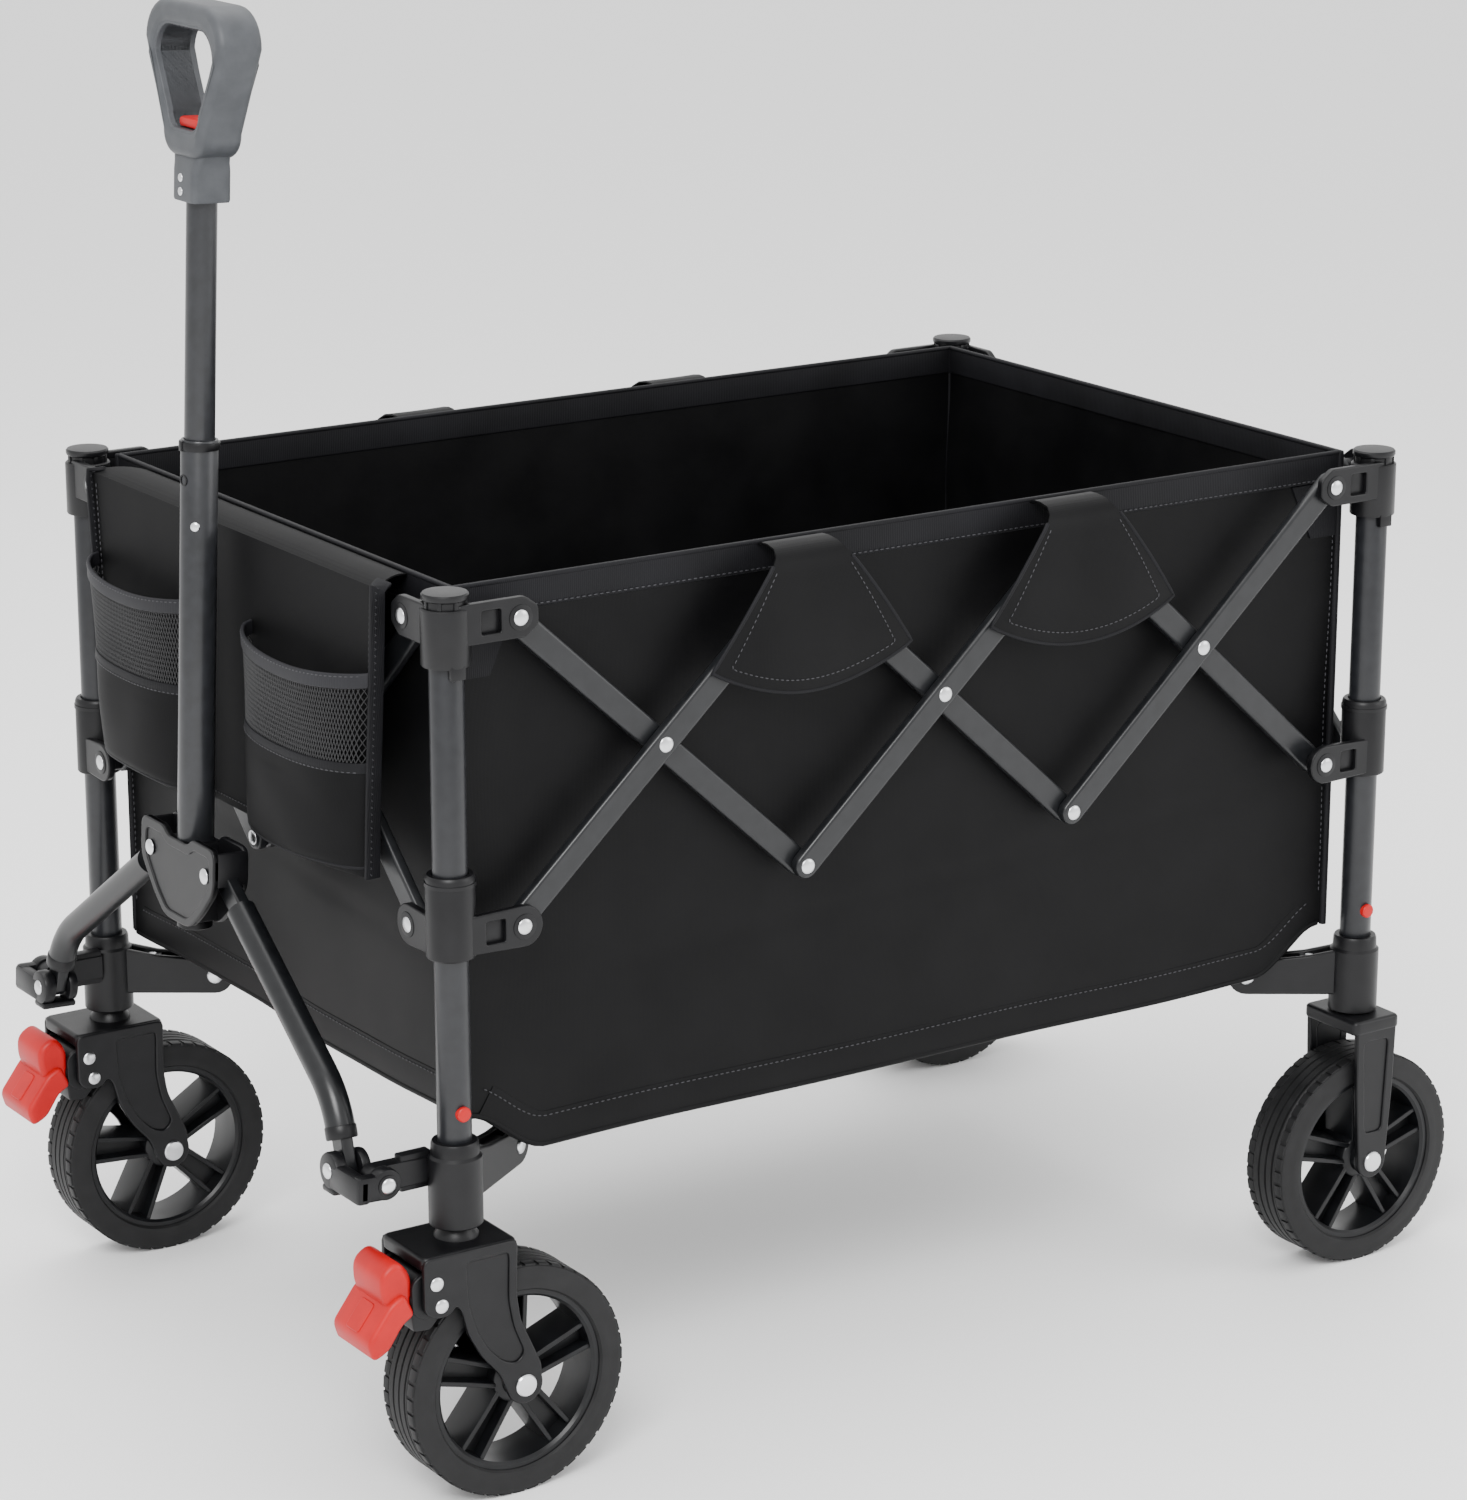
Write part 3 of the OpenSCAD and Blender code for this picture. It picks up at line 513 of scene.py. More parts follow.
for name, (sx, sy) in CORNERS.items():
    c, body = corner(sx, sy), "post_" + name
    collar = lathe([(13.2, Z_COLLAR), (19, Z_COLLAR), (20, Z_COLLAR + 1), (20, Z_COLLAR + 52),
                    (18, Z_COLLAR + 54), (17.6, Z_COLLAR + 62), (16.6, Z_COLLAR + 64),
                    (12.9, Z_COLLAR + 64)], 56, True)
    shapes = [moved(collar, c)]
    spun = c @ R(math.degrees(PSI), "Z")
    reach = [(12, -15), (70, -15)] + arc(ARM_END_R, 0, 15, -90, 90, 12) + [(70, 15), (40, 18), (12, 24)]
    shapes += [moved(plate([reach], 5.5, 10.2, 1.4), spun @ upright(s, Z_BASE)) for s in (-1, 1)]
    shapes.append(moved(block((14, -5.6, Z_BASE - 12), (74, 5.6, Z_BASE + 12), 0.6), spun))
    if sx < 0:
        lug = moved(plate([[(-14, -9.5), (-14, 9.5)] + arc(-TILT_OUT, 0, 10, 90, 270, 14),
                           arc(-TILT_OUT, 0, 4.2, 0, 360, 18)[:-1][::-1]], 7.6, 20.4, 0.8),
                    upright(1, Z_TILT))
        shapes += [moved(lug, c), moved(block((-40, 9, Z_TILT - 14), (-14, 19, Z_TILT + 14), 1.5), c)]
    else:
        outline = [(-21, Z_COLLAR - 5), (-19, 150)] + arc(0, 90, 14.5, 190, 350, 14)
        outline += [(19, 150), (21, Z_COLLAR - 5)]
        recess = rounded([(-13, 196), (13, 196), (9, 116), (-9, 116)], 5)
        for s in (-1, 1):
            shapes.append(moved(blade([outline, recess[::-1]], s), c))
            shapes.append(moved(blade([recess], s, FORK_IN + 0.2, FORK_OUT - 1.8, 0.1), c))
        crown = oblong(24, FORK_OUT + 0.6, 6, 5)
        shapes.append(moved(plate([crown], Z_COLLAR - 13, Z_COLLAR - 1, 3, 4), c))
    piece("base_bracket_" + name, shapes, NYLON, body, ["fittings_" + name])
    pins = [(spot(spun, ARM_END_R, s * 10.2, Z_BASE),
             tuple((spun.to_3x3() @ Vector((0, s, 0))).normalized()))
            for s in (-1, 1)]
    if sx > 0:
        pins += [(spot(c, 0, s * FORK_OUT, WHEEL_R), (0, -sy * s, 0)) for s in (-1, 1)]
    rivets("base_rivets_" + name, pins, body, 6.5, 2.4)
    clip = [moved(block((30, -8, Z_BASE + 13), (44, 8, Z_BASE + 15), 0.4), spun),
            moved(cyl(3.4, Z_BASE + 14, Z_BASE + 17, 24), spun @ T(37, 0, 0))]
    piece("spring_clip_" + name, clip, RIVET, body)
    # the strut itself
    run = math.hypot(HX, HY) - ARM_END_R - HUB_R
    bar = plate([stadium((0, 0), (run, run * math.tan(math.radians(RISE))), 10)], -5, 5, 2.4, 3)
    piece("strut_bar_" + name, moved(bar, spun @ T(ARM_END_R, 0, 0) @ DIAG), BAR, "strut_" + name,
          ["strut_" + name])
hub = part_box("centre_plate")
px, py, top = hub[1].x * 1000, hub[1].y * 1000, hub[1].z * 1000
LID, EAR_LOW = 6, 256                   # lid's thickness, and the height where the ears begin
lid = plate([oblong(px, py, 14, 8)], top - LID, top, 1.2)
spun = corner(-1, -1) @ R(math.degrees(PSI), "Z")
far, ear_h = math.hypot(HX, HY) - HUB_R, top - LID - 262.99
ears = [moved(plate([[(-9, 0), (9, 0), (9, ear_h), (-9, ear_h)]], 5.6, 9.2, 0.6),
              spun @ T(far, 0, 0) @ upright(s, EAR_LOW)) for s in (-1, 1)]
piece("centre_plate_moulding", [lid] + ears, NYLON, "centre_plate", ["centre_plate"])
print("after the base", count)

# %% [markdown]
# ## Repeats round an axle
# Spokes and tread blocks are one shape turned round the axle in equal steps. A small tree takes the
# shape as its input geometry, so the same tree makes five spokes or forty-eight blocks.

# %% The turning tree
def turning_tree():
    g, i, o = new_tree("turned_copies", {"Copies": 5}, "Finish")
    points = add(g, "GeometryNodePoints", {"Count": i.outputs["Copies"]})
    step = add(g, "ShaderNodeMath", {0: 2 * math.pi, 1: i.outputs["Copies"]}, operation="DIVIDE")
    index = add(g, "GeometryNodeInputIndex")
    angle = add(g, "ShaderNodeMath", {0: index.outputs["Index"], 1: step.outputs["Value"]},
                operation="MULTIPLY")
    turn = add(g, "ShaderNodeCombineXYZ", {"Z": angle.outputs["Value"]})
    put = add(g, "GeometryNodeInstanceOnPoints",
              {"Points": points.outputs["Points"], "Instance": i.outputs["Geometry"],
               "Rotation": turn.outputs["Vector"]})
    real = add(g, "GeometryNodeRealizeInstances", {"Geometry": put.outputs["Instances"]})
    done = add(g, "GeometryNodeSetMaterial",
               {"Geometry": real.outputs["Geometry"], "Material": i.outputs["Finish"]})
    g.links.new(done.outputs["Geometry"], o.inputs["Geometry"])
    return g

TURNED = turning_tree()

def turned(name, shapes, copies, mat, body, place, nodes=(), smooth=38):
    """copies of a shape round Z, then carried to its place."""
    o = piece(name, shapes, mat, None, (), smooth)
    baked(o, TURNED, {"Copies": copies, "Finish": mat}, mat)
    m = Matrix(place).copy(); m.translation = m.translation / 1000
    o.data.transform(m)
    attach(o, body)
    if nodes:
        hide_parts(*nodes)
    return o

# %% [markdown]
# ## Wheels
# Each wheel is a moulded core with five channel-section spokes and a deep rim barrel, and a solid
# rubber tyre with a flat tread: three grooves round it and a row of blocks on each shoulder.

# %% Wheels and tyres
def wheel(name, x, s):
    place = T(x, s * HY, WHEEL_R) @ R(90, "X")
    w, t = "wheel_" + name, "tyre_" + name
    rim = lathe([(69.9, -20.5), (69.9, 20.5), (66.4, 20.5), (64.4, 18.4), (63.4, 6), (63.4, -6),
                 (64.4, -18.4), (66.4, -20.5)], 96, True)
    hub = lathe([(4.1, -24.3), (11.5, -24.3), (12.3, -23.6), (12.6, -19), (17.5, -17), (18.5, -15.5),
                 (18.5, 15.5), (17.5, 17), (12.6, 19),
                 (12.3, 23.6), (11.5, 24.3), (4.1, 24.3)], 56, True)
    piece("wheel_barrel_" + name, [moved(a, place) for a in (rim, hub)], WHEEL, w, [w])
    # one spoke: a deep web between two faces, each face a channel with two ribs
    shapes = [plate([[(12, -5.2), (66, -8.2), (66, 8.2), (12, 5.2)]], -6.5, 6.5, 0.8)]
    for k in (-1, 1):
        rib = plate([[(14, -2), (66, -2), (66, 2), (14, 2)]], -17.2, 17.2, 0.9)
        shapes.append(moved(rib, T(0, 6.2 * k, 0) @ R(3.0 * k, "Z")))
    turned("spokes_" + name, shapes, 5, WHEEL, w, place @ R(18 + (11 if s > 0 else 0), "Z"))
    h, r = 23.3, WHEEL_R - 0.1
    prof = [(70, -21.4), (71.5, -h), (78, -h - 0.1), (80, -h + 0.7), (85, -h + 0.4), (88, -h + 1.3),
            (88.8, -h + 2.6), (88.9, -14)]
    for g0 in (-12.6, -4.6, 3.4):
        prof += [(r, g0), (r, g0 + 5.6), (r - 1.7, g0 + 6.1), (r - 1.7, g0 + 7.5)]
    prof += [(r, 11.4), (r, 12.6), (88.9, 14), (88.8, h - 2.6), (88, h - 1.3), (85, h - 0.4), (80, h - 0.7),
             (78, h + 0.1), (71.5, h), (70, 21.4)]
    piece("tyre_tread_" + name, moved(lathe(prof, 120, True), place), TYRE, w, [t], smooth=30)
    block_a = plate([[(86, -4.3), (r, -4.5), (r, 4.5), (86, 4.3)]], 0, 7.6, 0.5, 1)
    shoulder = [moved(block_a, T(0, 0, 13.6)), moved(block_a, R(3.75, "Z") @ T(0, 0, -21))]
    turned("tread_blocks_" + name, shoulder, 48, TYRE, w, place, smooth=30)

for s, lr in ((-1, "left"), (1, "right")):
    wheel("front_" + lr, -HX + TRAIL, s)
    wheel("rear_" + lr, HX, s)
    for x, body in ((-HX + TRAIL, "front_fork_" + lr), (HX, "post_rear_" + lr)):
        shaft = cyl(4, -FORK_OUT - 0.9, FORK_OUT + 0.9, 28, 0.4)
        head = [(8.6, 0), (8.6, 1.2), (7.8, 2.2), (4, 2.9), (0.4, 3)]
        bolt = [moved(lathe([(r, FORK_OUT + z) for r, z in head], 36), m)
                for m in (T(0, 0, 0), R(180, "X"))]
        axle = [moved(a, T(x, s * HY, WHEEL_R) @ R(90, "X")) for a in [shaft] + bolt]
        piece(("axle_front_" if x < 0 else "axle_rear_") + lr, axle, RIVET, body)
print("after the wheels", count)

# %% [markdown]
# ## Castor forks and brakes
# A front fork is one moulding: a crown plate under the post, a stem that turns in the collar, and
# two curved blades with a sunk panel. The red pedal hinges on two black ears in front of the tyre.

# %% Forks
BRAKE = (-35.0, 186.0)
for s, lr in ((-1, "left"), (1, "right")):
    c, body = corner(-1, s), "front_fork_" + lr
    outline = [(-45, Z_CROWN - 1), (33, Z_CROWN - 1), (32, 162), (35, 142), (44, 122), (52, 104)]
    outline += arc(TRAIL, WHEEL_R, 14.8, 20, -165, 14)
    outline += [(17, 103), (2, 120), (-9, 140), (-14, 160), (-19, 166), (-24, 159), (-38, 159), (-45, 166)]
    outline = rounded(outline, 5, 3)
    recess = rounded([(-10, 198), (26, 198), (25, 160), (29, 138), (38, 116), (31, 109), (20, 113),
                      (8, 125), (-2, 143), (-8, 163)], 6)
    hole = arc(BRAKE[0], BRAKE[1], 3.2, 0, 360, 20)[:-1][::-1]
    shapes = []
    for k in (-1, 1):
        shapes.append(moved(blade([outline, recess[::-1], hole], k, bevel=1.3), c))
        shapes.append(moved(blade([recess], k, FORK_IN + 0.2, FORK_OUT - 2.0, 0.1), c))
    crown = rounded([(-45.5, -FORK_OUT + 0.4), (33.5, -FORK_OUT + 0.4), (33.5, FORK_OUT - 0.4),
                     (-45.5, FORK_OUT - 0.4)], 7, 6)
    shapes.append(moved(plate([crown], Z_CROWN - 11.5, Z_CROWN - 0.3, 3.2, 4), c))
    stem = [(17, -2), (16.6, 1), (14.5, 4), (12.5, 8.4), (8.9, 8.6), (8.9, 36), (0.3, 36)]
    shapes.append(moved(lathe([(r, Z_CROWN + z) for r, z in stem], 40), c))
    piece("castor_fork_" + lr, shapes, NYLON, body, [body])
    pins = [(spot(c, BRAKE[0] + 4, k * (FORK_OUT - 0.2), BRAKE[1] - 18), (0, -s * k, 0)) for k in (-1, 1)]
    rivets("fork_rivets_" + lr, pins, body, 5.5, 1.9)
    # the brake: black shoe on a hinge pin, red pedal in front
    body = "brake_" + lr
    flat, bz = upright(-1), BRAKE[1]
    def tread(angle, gap):
        a = math.radians(angle); rr = WHEEL_R + gap
        return (TRAIL + rr * math.cos(a), WHEEL_R + rr * math.sin(a))
    shoe = rounded([(-29, 191), (-41, 191), (-53, 177), tread(146, 17), tread(142, 5), tread(133, 4.8),
                    tread(124, 5), (-20, 180)], 2.5, 3)
    black = [moved(plate([shoe], -24.5, 24.5, 1.2), c @ flat)]
    for k in (-1, 1):
        ear = [(-29, bz + 8), (-41, bz + 8), (-52, bz + 2), (-52, bz - 22), (-40, bz - 30), (-28, bz - 8)]
        black.append(moved(plate([rounded(ear, 6)], FORK_IN - 5.2, FORK_IN - 1.2, 1), c @ upright(k)))
    black.append(moved(cyl(3, -FORK_OUT - 0.8, FORK_OUT + 0.8, 24, 0.3),
                       c @ T(BRAKE[0], 0, bz) @ R(90, "X")))
    piece("brake_shoe_" + lr, black, NYLON, body, [body])
    upper = rounded([(-50, bz + 8), (-61, bz + 21), (-75, bz + 12), (-75, bz - 6), (-64, bz - 27),
                     (-50, bz - 25)], 8, 6)
    paddle = rounded([(-58, bz - 4), (-70, bz - 10), (-89.6, bz - 36), (-85, bz - 51), (-72, bz - 45),
                      (-60, bz - 27), (-50, bz - 22)], 5, 5)
    tilt = T(-80.6, 0, bz - 24) @ R(-53, "Y")          # the paddle's front face
    red = [moved(plate([upper], -23, 23, 4.5, 4), c @ flat),
           moved(plate([paddle], -28, 28, 3.6, 4), c @ flat),
           moved(plate([oblong(12, 9, 3)], -2.2, 0.9, 0.8), c @ tilt)]
    piece("brake_pedal_" + lr, red, RED, body)
    rivets("brake_rivets_" + lr, [(spot(c, BRAKE[0], k * (FORK_OUT + 0.2), bz), (0, -s * k, 0))
                                  for k in (-1, 1)], body, 5.5, 1.7)
print("after the brakes", count)

# %% [markdown]
# ## Handle legs and knuckles
# The handle folds on two knuckles at the front lugs. Each leg is a round tube, bent once, with a
# flat tongue at each end held between cheeks. All of it is drawn upright and leaned by one matrix.

# %% Knuckles and legs
LEG_LOW, LEG_TOP, LEG_RISE, PLANE = HY - 42, 45.0, 169.0, -8.0
def bent(a, b, c, r, n=10):
    """a to c through a rounded corner at b."""
    a, b, c = (np.array(p, float) for p in (a, b, c))
    d0 = b + (a - b) / np.linalg.norm(a - b) * r; d1 = b + (c - b) / np.linalg.norm(c - b) * r
    return [a] + [tuple((1 - t) ** 2 * d0 + 2 * t * (1 - t) * b + t * t * d1)
                  for t in np.linspace(0, 1, n)] + [c]

for s, lr in ((-1, "left"), (1, "right")):
    flip = LEAN @ M((1, 0, 0, 0), (0, s, 0, 0), (0, 0, 1, 0))
    body = "knuckle_" + lr
    far, near = HY - 7.6, HY - 20.4
    def across(shape): return moved(shape, flip @ R(-90, "X"))
    cup = [across(cyl(12, far + 0.4, far + 11.8, 40, 2.2)), across(cyl(4, near - 2, far + 6, 24)),
           across(lathe([(8, far + 11), (7.6, far + 12.6), (5, far + 13.6), (0.4, far + 13.8)], 32)),
           across(cyl(8, near - 2.4, near - 0.6, 32, 0.5))]
    cup.append(moved(block((-23, far + 0.6, -12), (0, far + 11.6, 8), 3), flip))
    cup.append(moved(block((-24, LEG_LOW + 1, -13), (-13, far + 11.6, 7), 3.2), flip))
    for x0, x1 in ((-23.8, PLANE - 5.5), (PLANE + 5.5, 5.8)):
        cup.append(moved(cyl(13.8, x0, x1, 44, 2.4), flip @ T(0, LEG_LOW, 0) @ R(90, "Y")))
    cup.append(moved(block((-23.6, LEG_LOW - 9, -17), (5.6, LEG_LOW + 9, -11.6), 2), flip))
    piece("knuckle_cup_" + lr, cup, NYLON, body, [body])
    rivets("knuckle_rivets_" + lr, [(spot(flip, -23.9, LEG_LOW, 0), facing(LEAN @ R(-90, "Y"))),
                                    (spot(flip, 0, far + 13.4, 0), (0, s, 0))], body, 6, 2.2)
    body = "leg_" + lr
    foot, top, bend = (np.array(p, float)
                       for p in ((0, LEG_LOW, 0), (0, LEG_TOP, LEG_RISE), (0, LEG_LOW - 18, 47)))
    up, down = (bend - foot) / np.linalg.norm(bend - foot), (bend - top) / np.linalg.norm(bend - top)
    shift = flip @ T(PLANE, 0, 0)
    tube = moved(sweep(bent(foot + up * 21, bend, top + down * 36, 24), ring(11, 32), up=(1, 0, 0.01)),
                 shift)
    tongues = [stadium((foot[1], foot[2]), tuple((foot + up * 32)[1:]), 8),
               stadium((top[1], top[2]), tuple((top + down * 46)[1:]), 9)]
    parts = [tube] + [moved(plate([q], -4.9, 4.9, 1.5, 3), shift @ YZ) for q in tongues]
    piece("leg_tube_" + lr, parts, LEG, body, [body])
    along_leg = shift @ T(*foot) @ Vector(up).to_track_quat("Z", "X").to_matrix().to_4x4()
    sleeve = lathe([(11.2, 21), (11.8, 22), (11.8, 30), (11.2, 31)], 32)
    piece("leg_sleeve_" + lr, moved(sleeve, along_leg), NYLON, body)

# %% [markdown]
# ## Yoke and tubes
# The shield-shaped yoke holds both leg tops and, in a block between its plates, the foot of the
# telescopic tube. Its face is sunk inside a raised rim. The inner tube slides in the outer one,
# which ends in a thin clip ring.

# %% Yoke
front, back = PLANE - 14, PLANE + 14
def mirrored(top, low): return [(-u, z) for u, z in top] + top[::-1] + low + [(-u, z) for u, z in low[::-1]]
shield = rounded(mirrored([(60, 192), (24, 192), (16, 186)], [(60, 160), (38, 136), (20, 121.5)]), 9, 6)
inner = rounded(mirrored([(52, 184), (26, 184), (18, 178)], [(52, 163), (33, 141), (17, 128)]), 6, 5)
body = "yoke"
yoke = [moved(plate([shield, inner[::-1]], front - 1.9, front + 3.4, 1.1), LEAN @ YZ),
        moved(plate([shield], front - 0.6, front + 3.4, 0.5), LEAN @ YZ),
        moved(plate([shield], back - 4.5, back - 0.1, 1.4), LEAN @ YZ),
        moved(block((front + 2, -19, 124), (back - 2, 19, 186), 2), LEAN)]
yoke.append(moved(lathe([(12, 116.2), (13.4, 117), (13.4, 121), (12.4, 123.5), (0.3, 124)], 40),
                  LEAN @ T(PLANE, 0, 0)))
for s in (-1, 1):
    yoke.append(moved(block((front + 2, s * 58 - 2.5, 163), (back - 2, s * 58 + 1.6, 189), 1), LEAN))
piece("yoke_shield", yoke, NYLON, body, ["yoke"])
rivets("yoke_rivets", [(spot(LEAN, x, s * LEG_TOP, LEG_RISE), facing(LEAN @ R(90 * k, "Y")))
                       for s in (-1, 1)
                       for x, k in ((front - 1.9, -1), (back, 1))], body, 6.2, 2.0)

# %% Telescopic tubes
up_tube = LEAN @ T(PLANE, 0, 0)
piece("outer_handle_tube", moved(lathe([(12, 156), (13.7, 156), (14, 156.6), (14, 491), (13.6, 491.8),
                                        (12, 491.8)], 56, True), up_tube), TUBE, body, ["outer_tube"])
clip = lathe([(14.1, 484.5), (15.2, 484.6), (15.4, 485.4), (15.4, 489.4), (15.2, 490.2), (14.1, 490.3)], 56,
             True)
piece("clip_ring", [moved(clip, up_tube),
                    moved(block((-16.2, -2.2, 483.6), (-14.2, 2.2, 491.2), 0.5), up_tube)], NYLON, body)
spots = [(spot(up_tube, 14 * math.cos(math.radians(a)), 14 * math.sin(math.radians(a)), 428),
          facing(LEAN @ R(a, "Z") @ R(90, "Y"))) for a in (232, 52)]
rivets("tube_rivets", spots, body, 3.6, 1.2)
hole = moved(lathe([(3.9, -0.4), (4.3, 0), (4.3, 0.5), (3.2, 0.6), (3.1, -0.8), (0.3, -0.8)], 28),
             up_tube @ R(188, "Z") @ T(13.9, 0, 462) @ R(90, "Y"))
piece("lock_hole_collar", hole, NYLON, body)
piece("inner_handle_tube", moved(lathe([(10, 231), (11.3, 231), (11.5, 231.5), (11.5, 697), (10, 697)], 48,
                                       True), up_tube), TUBE, "inner_tube", ["inner_tube"])
print("after the tubes", count)

# %% [markdown]
# ## Grip
# The D grip is one soft-edged moulding: a plate cut by its hand hole, with deeply rounded edges and
# a sunk face. Finger ridges run across the inside of the top bar, and a neck joins it to the tube.

# %% Grip and trigger
G0, GH, GW = 700.0, 112.0, 121.0
def d_loop(w_top, w_low, z0, z1, r_top, r_low, n=8):
    """A D outline: four rounded corners, wider at the top than at the foot."""
    u1, u0, top, low = w_top / 2 - r_top, w_low / 2 - r_low, z1 - r_top, z0 + r_low
    return (arc(u1, top, r_top, 0, 90, n) + arc(-u1, top, r_top, 90, 180, n)
            + arc(-u0, low, r_low, 180, 270, n) + arc(u0, low, r_low, 270, 360, n))
outer = d_loop(GW, 62, G0, G0 + GH, 30, 18)
hole = d_loop(GW - 31, 48, G0 + 20.5, G0 + GH - 18, 22, 12)
dish = d_loop(GW - 24, 54, G0 + 17, G0 + GH - 14.5, 25, 14)
grip = [moved(plate([outer, hole[::-1]], -18.2, 18.2, 6.4, 6), LEAN @ T(PLANE, 0, 0) @ YZ),
        moved(plate([dish, hole[::-1]], -16.6, 16.6, 1.4, 3), LEAN @ T(PLANE, 0, 0) @ YZ)]
for k in range(-4, 5):                                   # finger ridges
    ridge = [(x, k * 7.2, G0 + GH - drop) for x, drop in ((-10, 18.2), (-5, 19.6), (5, 19.6), (10, 18.2))]
    grip.append(moved(sweep(ridge, ring(1.6, 10)), up_tube))
# the neck: rounded rectangles stacked upwards (height, half width, half depth, corner radius)
stack = [(668, 15.5, 16.5, 5), (669.5, 16, 17, 5), (690, 16, 17, 5), (697, 14.8, 19, 6), (706, 13.5, 23, 7)]
ring_v, ring_f = [], []
for z, w, d, r in stack:
    q = oblong(w, d, r, 5); kk = len(q); ring_v += [(x, y, z) for x, y in q]
for i in range(len(stack) - 1):
    ring_f += [(i * kk + j, i * kk + (j + 1) % kk, (i + 1) * kk + (j + 1) % kk, (i + 1) * kk + j)
               for j in range(kk)]
ring_f += [tuple(range(kk))[::-1], tuple((len(stack) - 1) * kk + j for j in range(kk))]
grip.append(moved((np.array(ring_v, float), ring_f), up_tube))
piece("grip_moulding", grip, GRIP, "inner_tube", ["grip"])
rivets("grip_rivets", [(spot(up_tube, -16, 3, z), facing(LEAN @ R(-90, "Y"))) for z in (675, 685)],
       "inner_tube", 3.2, 1.3)
button = [moved(block((-7.8, -13.6, 712.4), (7.8, 13.6, 724), 1.5), up_tube),
          moved(block((-12, -15, 721), (12, 15, 728.6), 2.6), up_tube)]
piece("trigger_button", button, RED, "trigger", ["trigger"])
print("after the grip", count)

# %% [markdown]
# ## Cloth
# The tub is coated polyester, a plain weave of thick yarn with a dull coating that gives a soft
# sheen at grazing angles. Real yarn is 0.5 mm wide; it is drawn at 1.1 mm so that it still shows.
# Webbing has ribs 1.7 mm apart, across the tape. Thread is a shade lighter than the cloth.

# %% Woven materials
def woven(name, dark, light, rough, yarn_mm, strength, ribs=False, **constants):
    m, t, b, w = material(name, dark, rough, **constants)
    speckle(t, w, b, dark, light, 55, (rough - 0.06, rough + 0.08), 0.3, 0.7)
    xyz = add(t, "ShaderNodeSeparateXYZ", {"Vector": w})
    along = add(t, "ShaderNodeMath", {0: xyz.outputs["X"], 1: xyz.outputs["Y"]}, operation="ADD")
    k = math.pi * 1000 / yarn_mm
    waves = []
    for source in (along.outputs["Value"], xyz.outputs["Z"]):
        turn = add(t, "ShaderNodeMath", {0: source, 1: k}, operation="MULTIPLY")
        sine = add(t, "ShaderNodeMath", {0: turn.outputs["Value"]}, operation="SINE")
        waves.append(add(t, "ShaderNodeMath", {0: sine.outputs["Value"]},
                         operation="ABSOLUTE").outputs["Value"])
    if ribs:
        height = waves[0]
    else:
        height = add(t, "ShaderNodeMath", {0: waves[0], 1: waves[1]}, operation="MULTIPLY").outputs["Value"]
    bump(t, b, height, strength, 0.12)
    return m

CLOTH = woven("coated_polyester", "#050506", "#0b0b0c", 0.47, 1.1, 0.42, Specular_IOR_Level=0.11)
CUP = woven("pocket_polyester", "#080809", "#0e0e0f", 0.62, 1.1, 0.45, Specular_IOR_Level=0.1)
TAPE = woven("edge_webbing", "#0e0e10", "#151518", 0.58, 1.7, 0.9, True, Specular_IOR_Level=0.14)
ELASTIC = woven("elastic_tape", "#17171a", "#1f1f23", 0.60, 1.3, 0.8, True, Specular_IOR_Level=0.25)
THREAD = woven("sewing_thread", "#242428", "#2d2d31", 0.50, 0.5, 0.4)
NET = woven("knitted_net", "#0d0d0f", "#141416", 0.62, 0.6, 0.4)
print("woven materials", [m.name for m in (CLOTH, CUP, TAPE, ELASTIC, THREAD, NET)])

# %% [markdown]
# ## Sheets, tapes and stitches
# A sheet is a grid of points given a thickness along its own normals, so it closes at every edge.
# Stitches and net strands follow lines: one tree drops a stitch at equal steps along a line, the
# other carries a thin round strand along every edge of a wire mesh.

# %% Sheet and tape helpers
def cloth_sheet(points, thick=1.2):
    p = np.array(points, float)
    du, dv = np.gradient(p, axis=0), np.gradient(p, axis=1)
    n = np.cross(du, dv); n /= np.maximum(np.linalg.norm(n, axis=2, keepdims=True), 1e-9)
    a, b = (p + n * thick / 2).reshape(-1, 3), (p - n * thick / 2).reshape(-1, 3)
    r, c = p.shape[:2]; k = r * c; f = []
    for i in range(r - 1):
        for j in range(c - 1):
            q = (i * c + j, i * c + j + 1, (i + 1) * c + j + 1, (i + 1) * c + j)
            f.append(q); f.append(tuple(x + k for x in q[::-1]))
    edge = list(range(c)) + [i * c + c - 1 for i in range(1, r)]          # round the sheet's border
    edge += [(r - 1) * c + j for j in range(c - 2, -1, -1)] + [i * c for i in range(r - 2, 0, -1)]
    for i, e in enumerate(edge):
        g = edge[(i + 1) % len(edge)]
        f.append((g, e, e + k, g + k))
    return np.vstack([a, b]), f

def flat_area(points):
    p = np.array(points, float)
    a, b = p[1:, 1:] - p[:-1, :-1], p[1:, :-1] - p[:-1, 1:]
    return float(np.linalg.norm(np.cross(a, b), axis=2).sum() / 2 / 1e6)

def tape(path, wide, thick=2.4):
    """A flat tape on edge along a path: its width runs upwards."""
    return sweep(path, oblong(thick / 2, wide / 2, thick * 0.45))

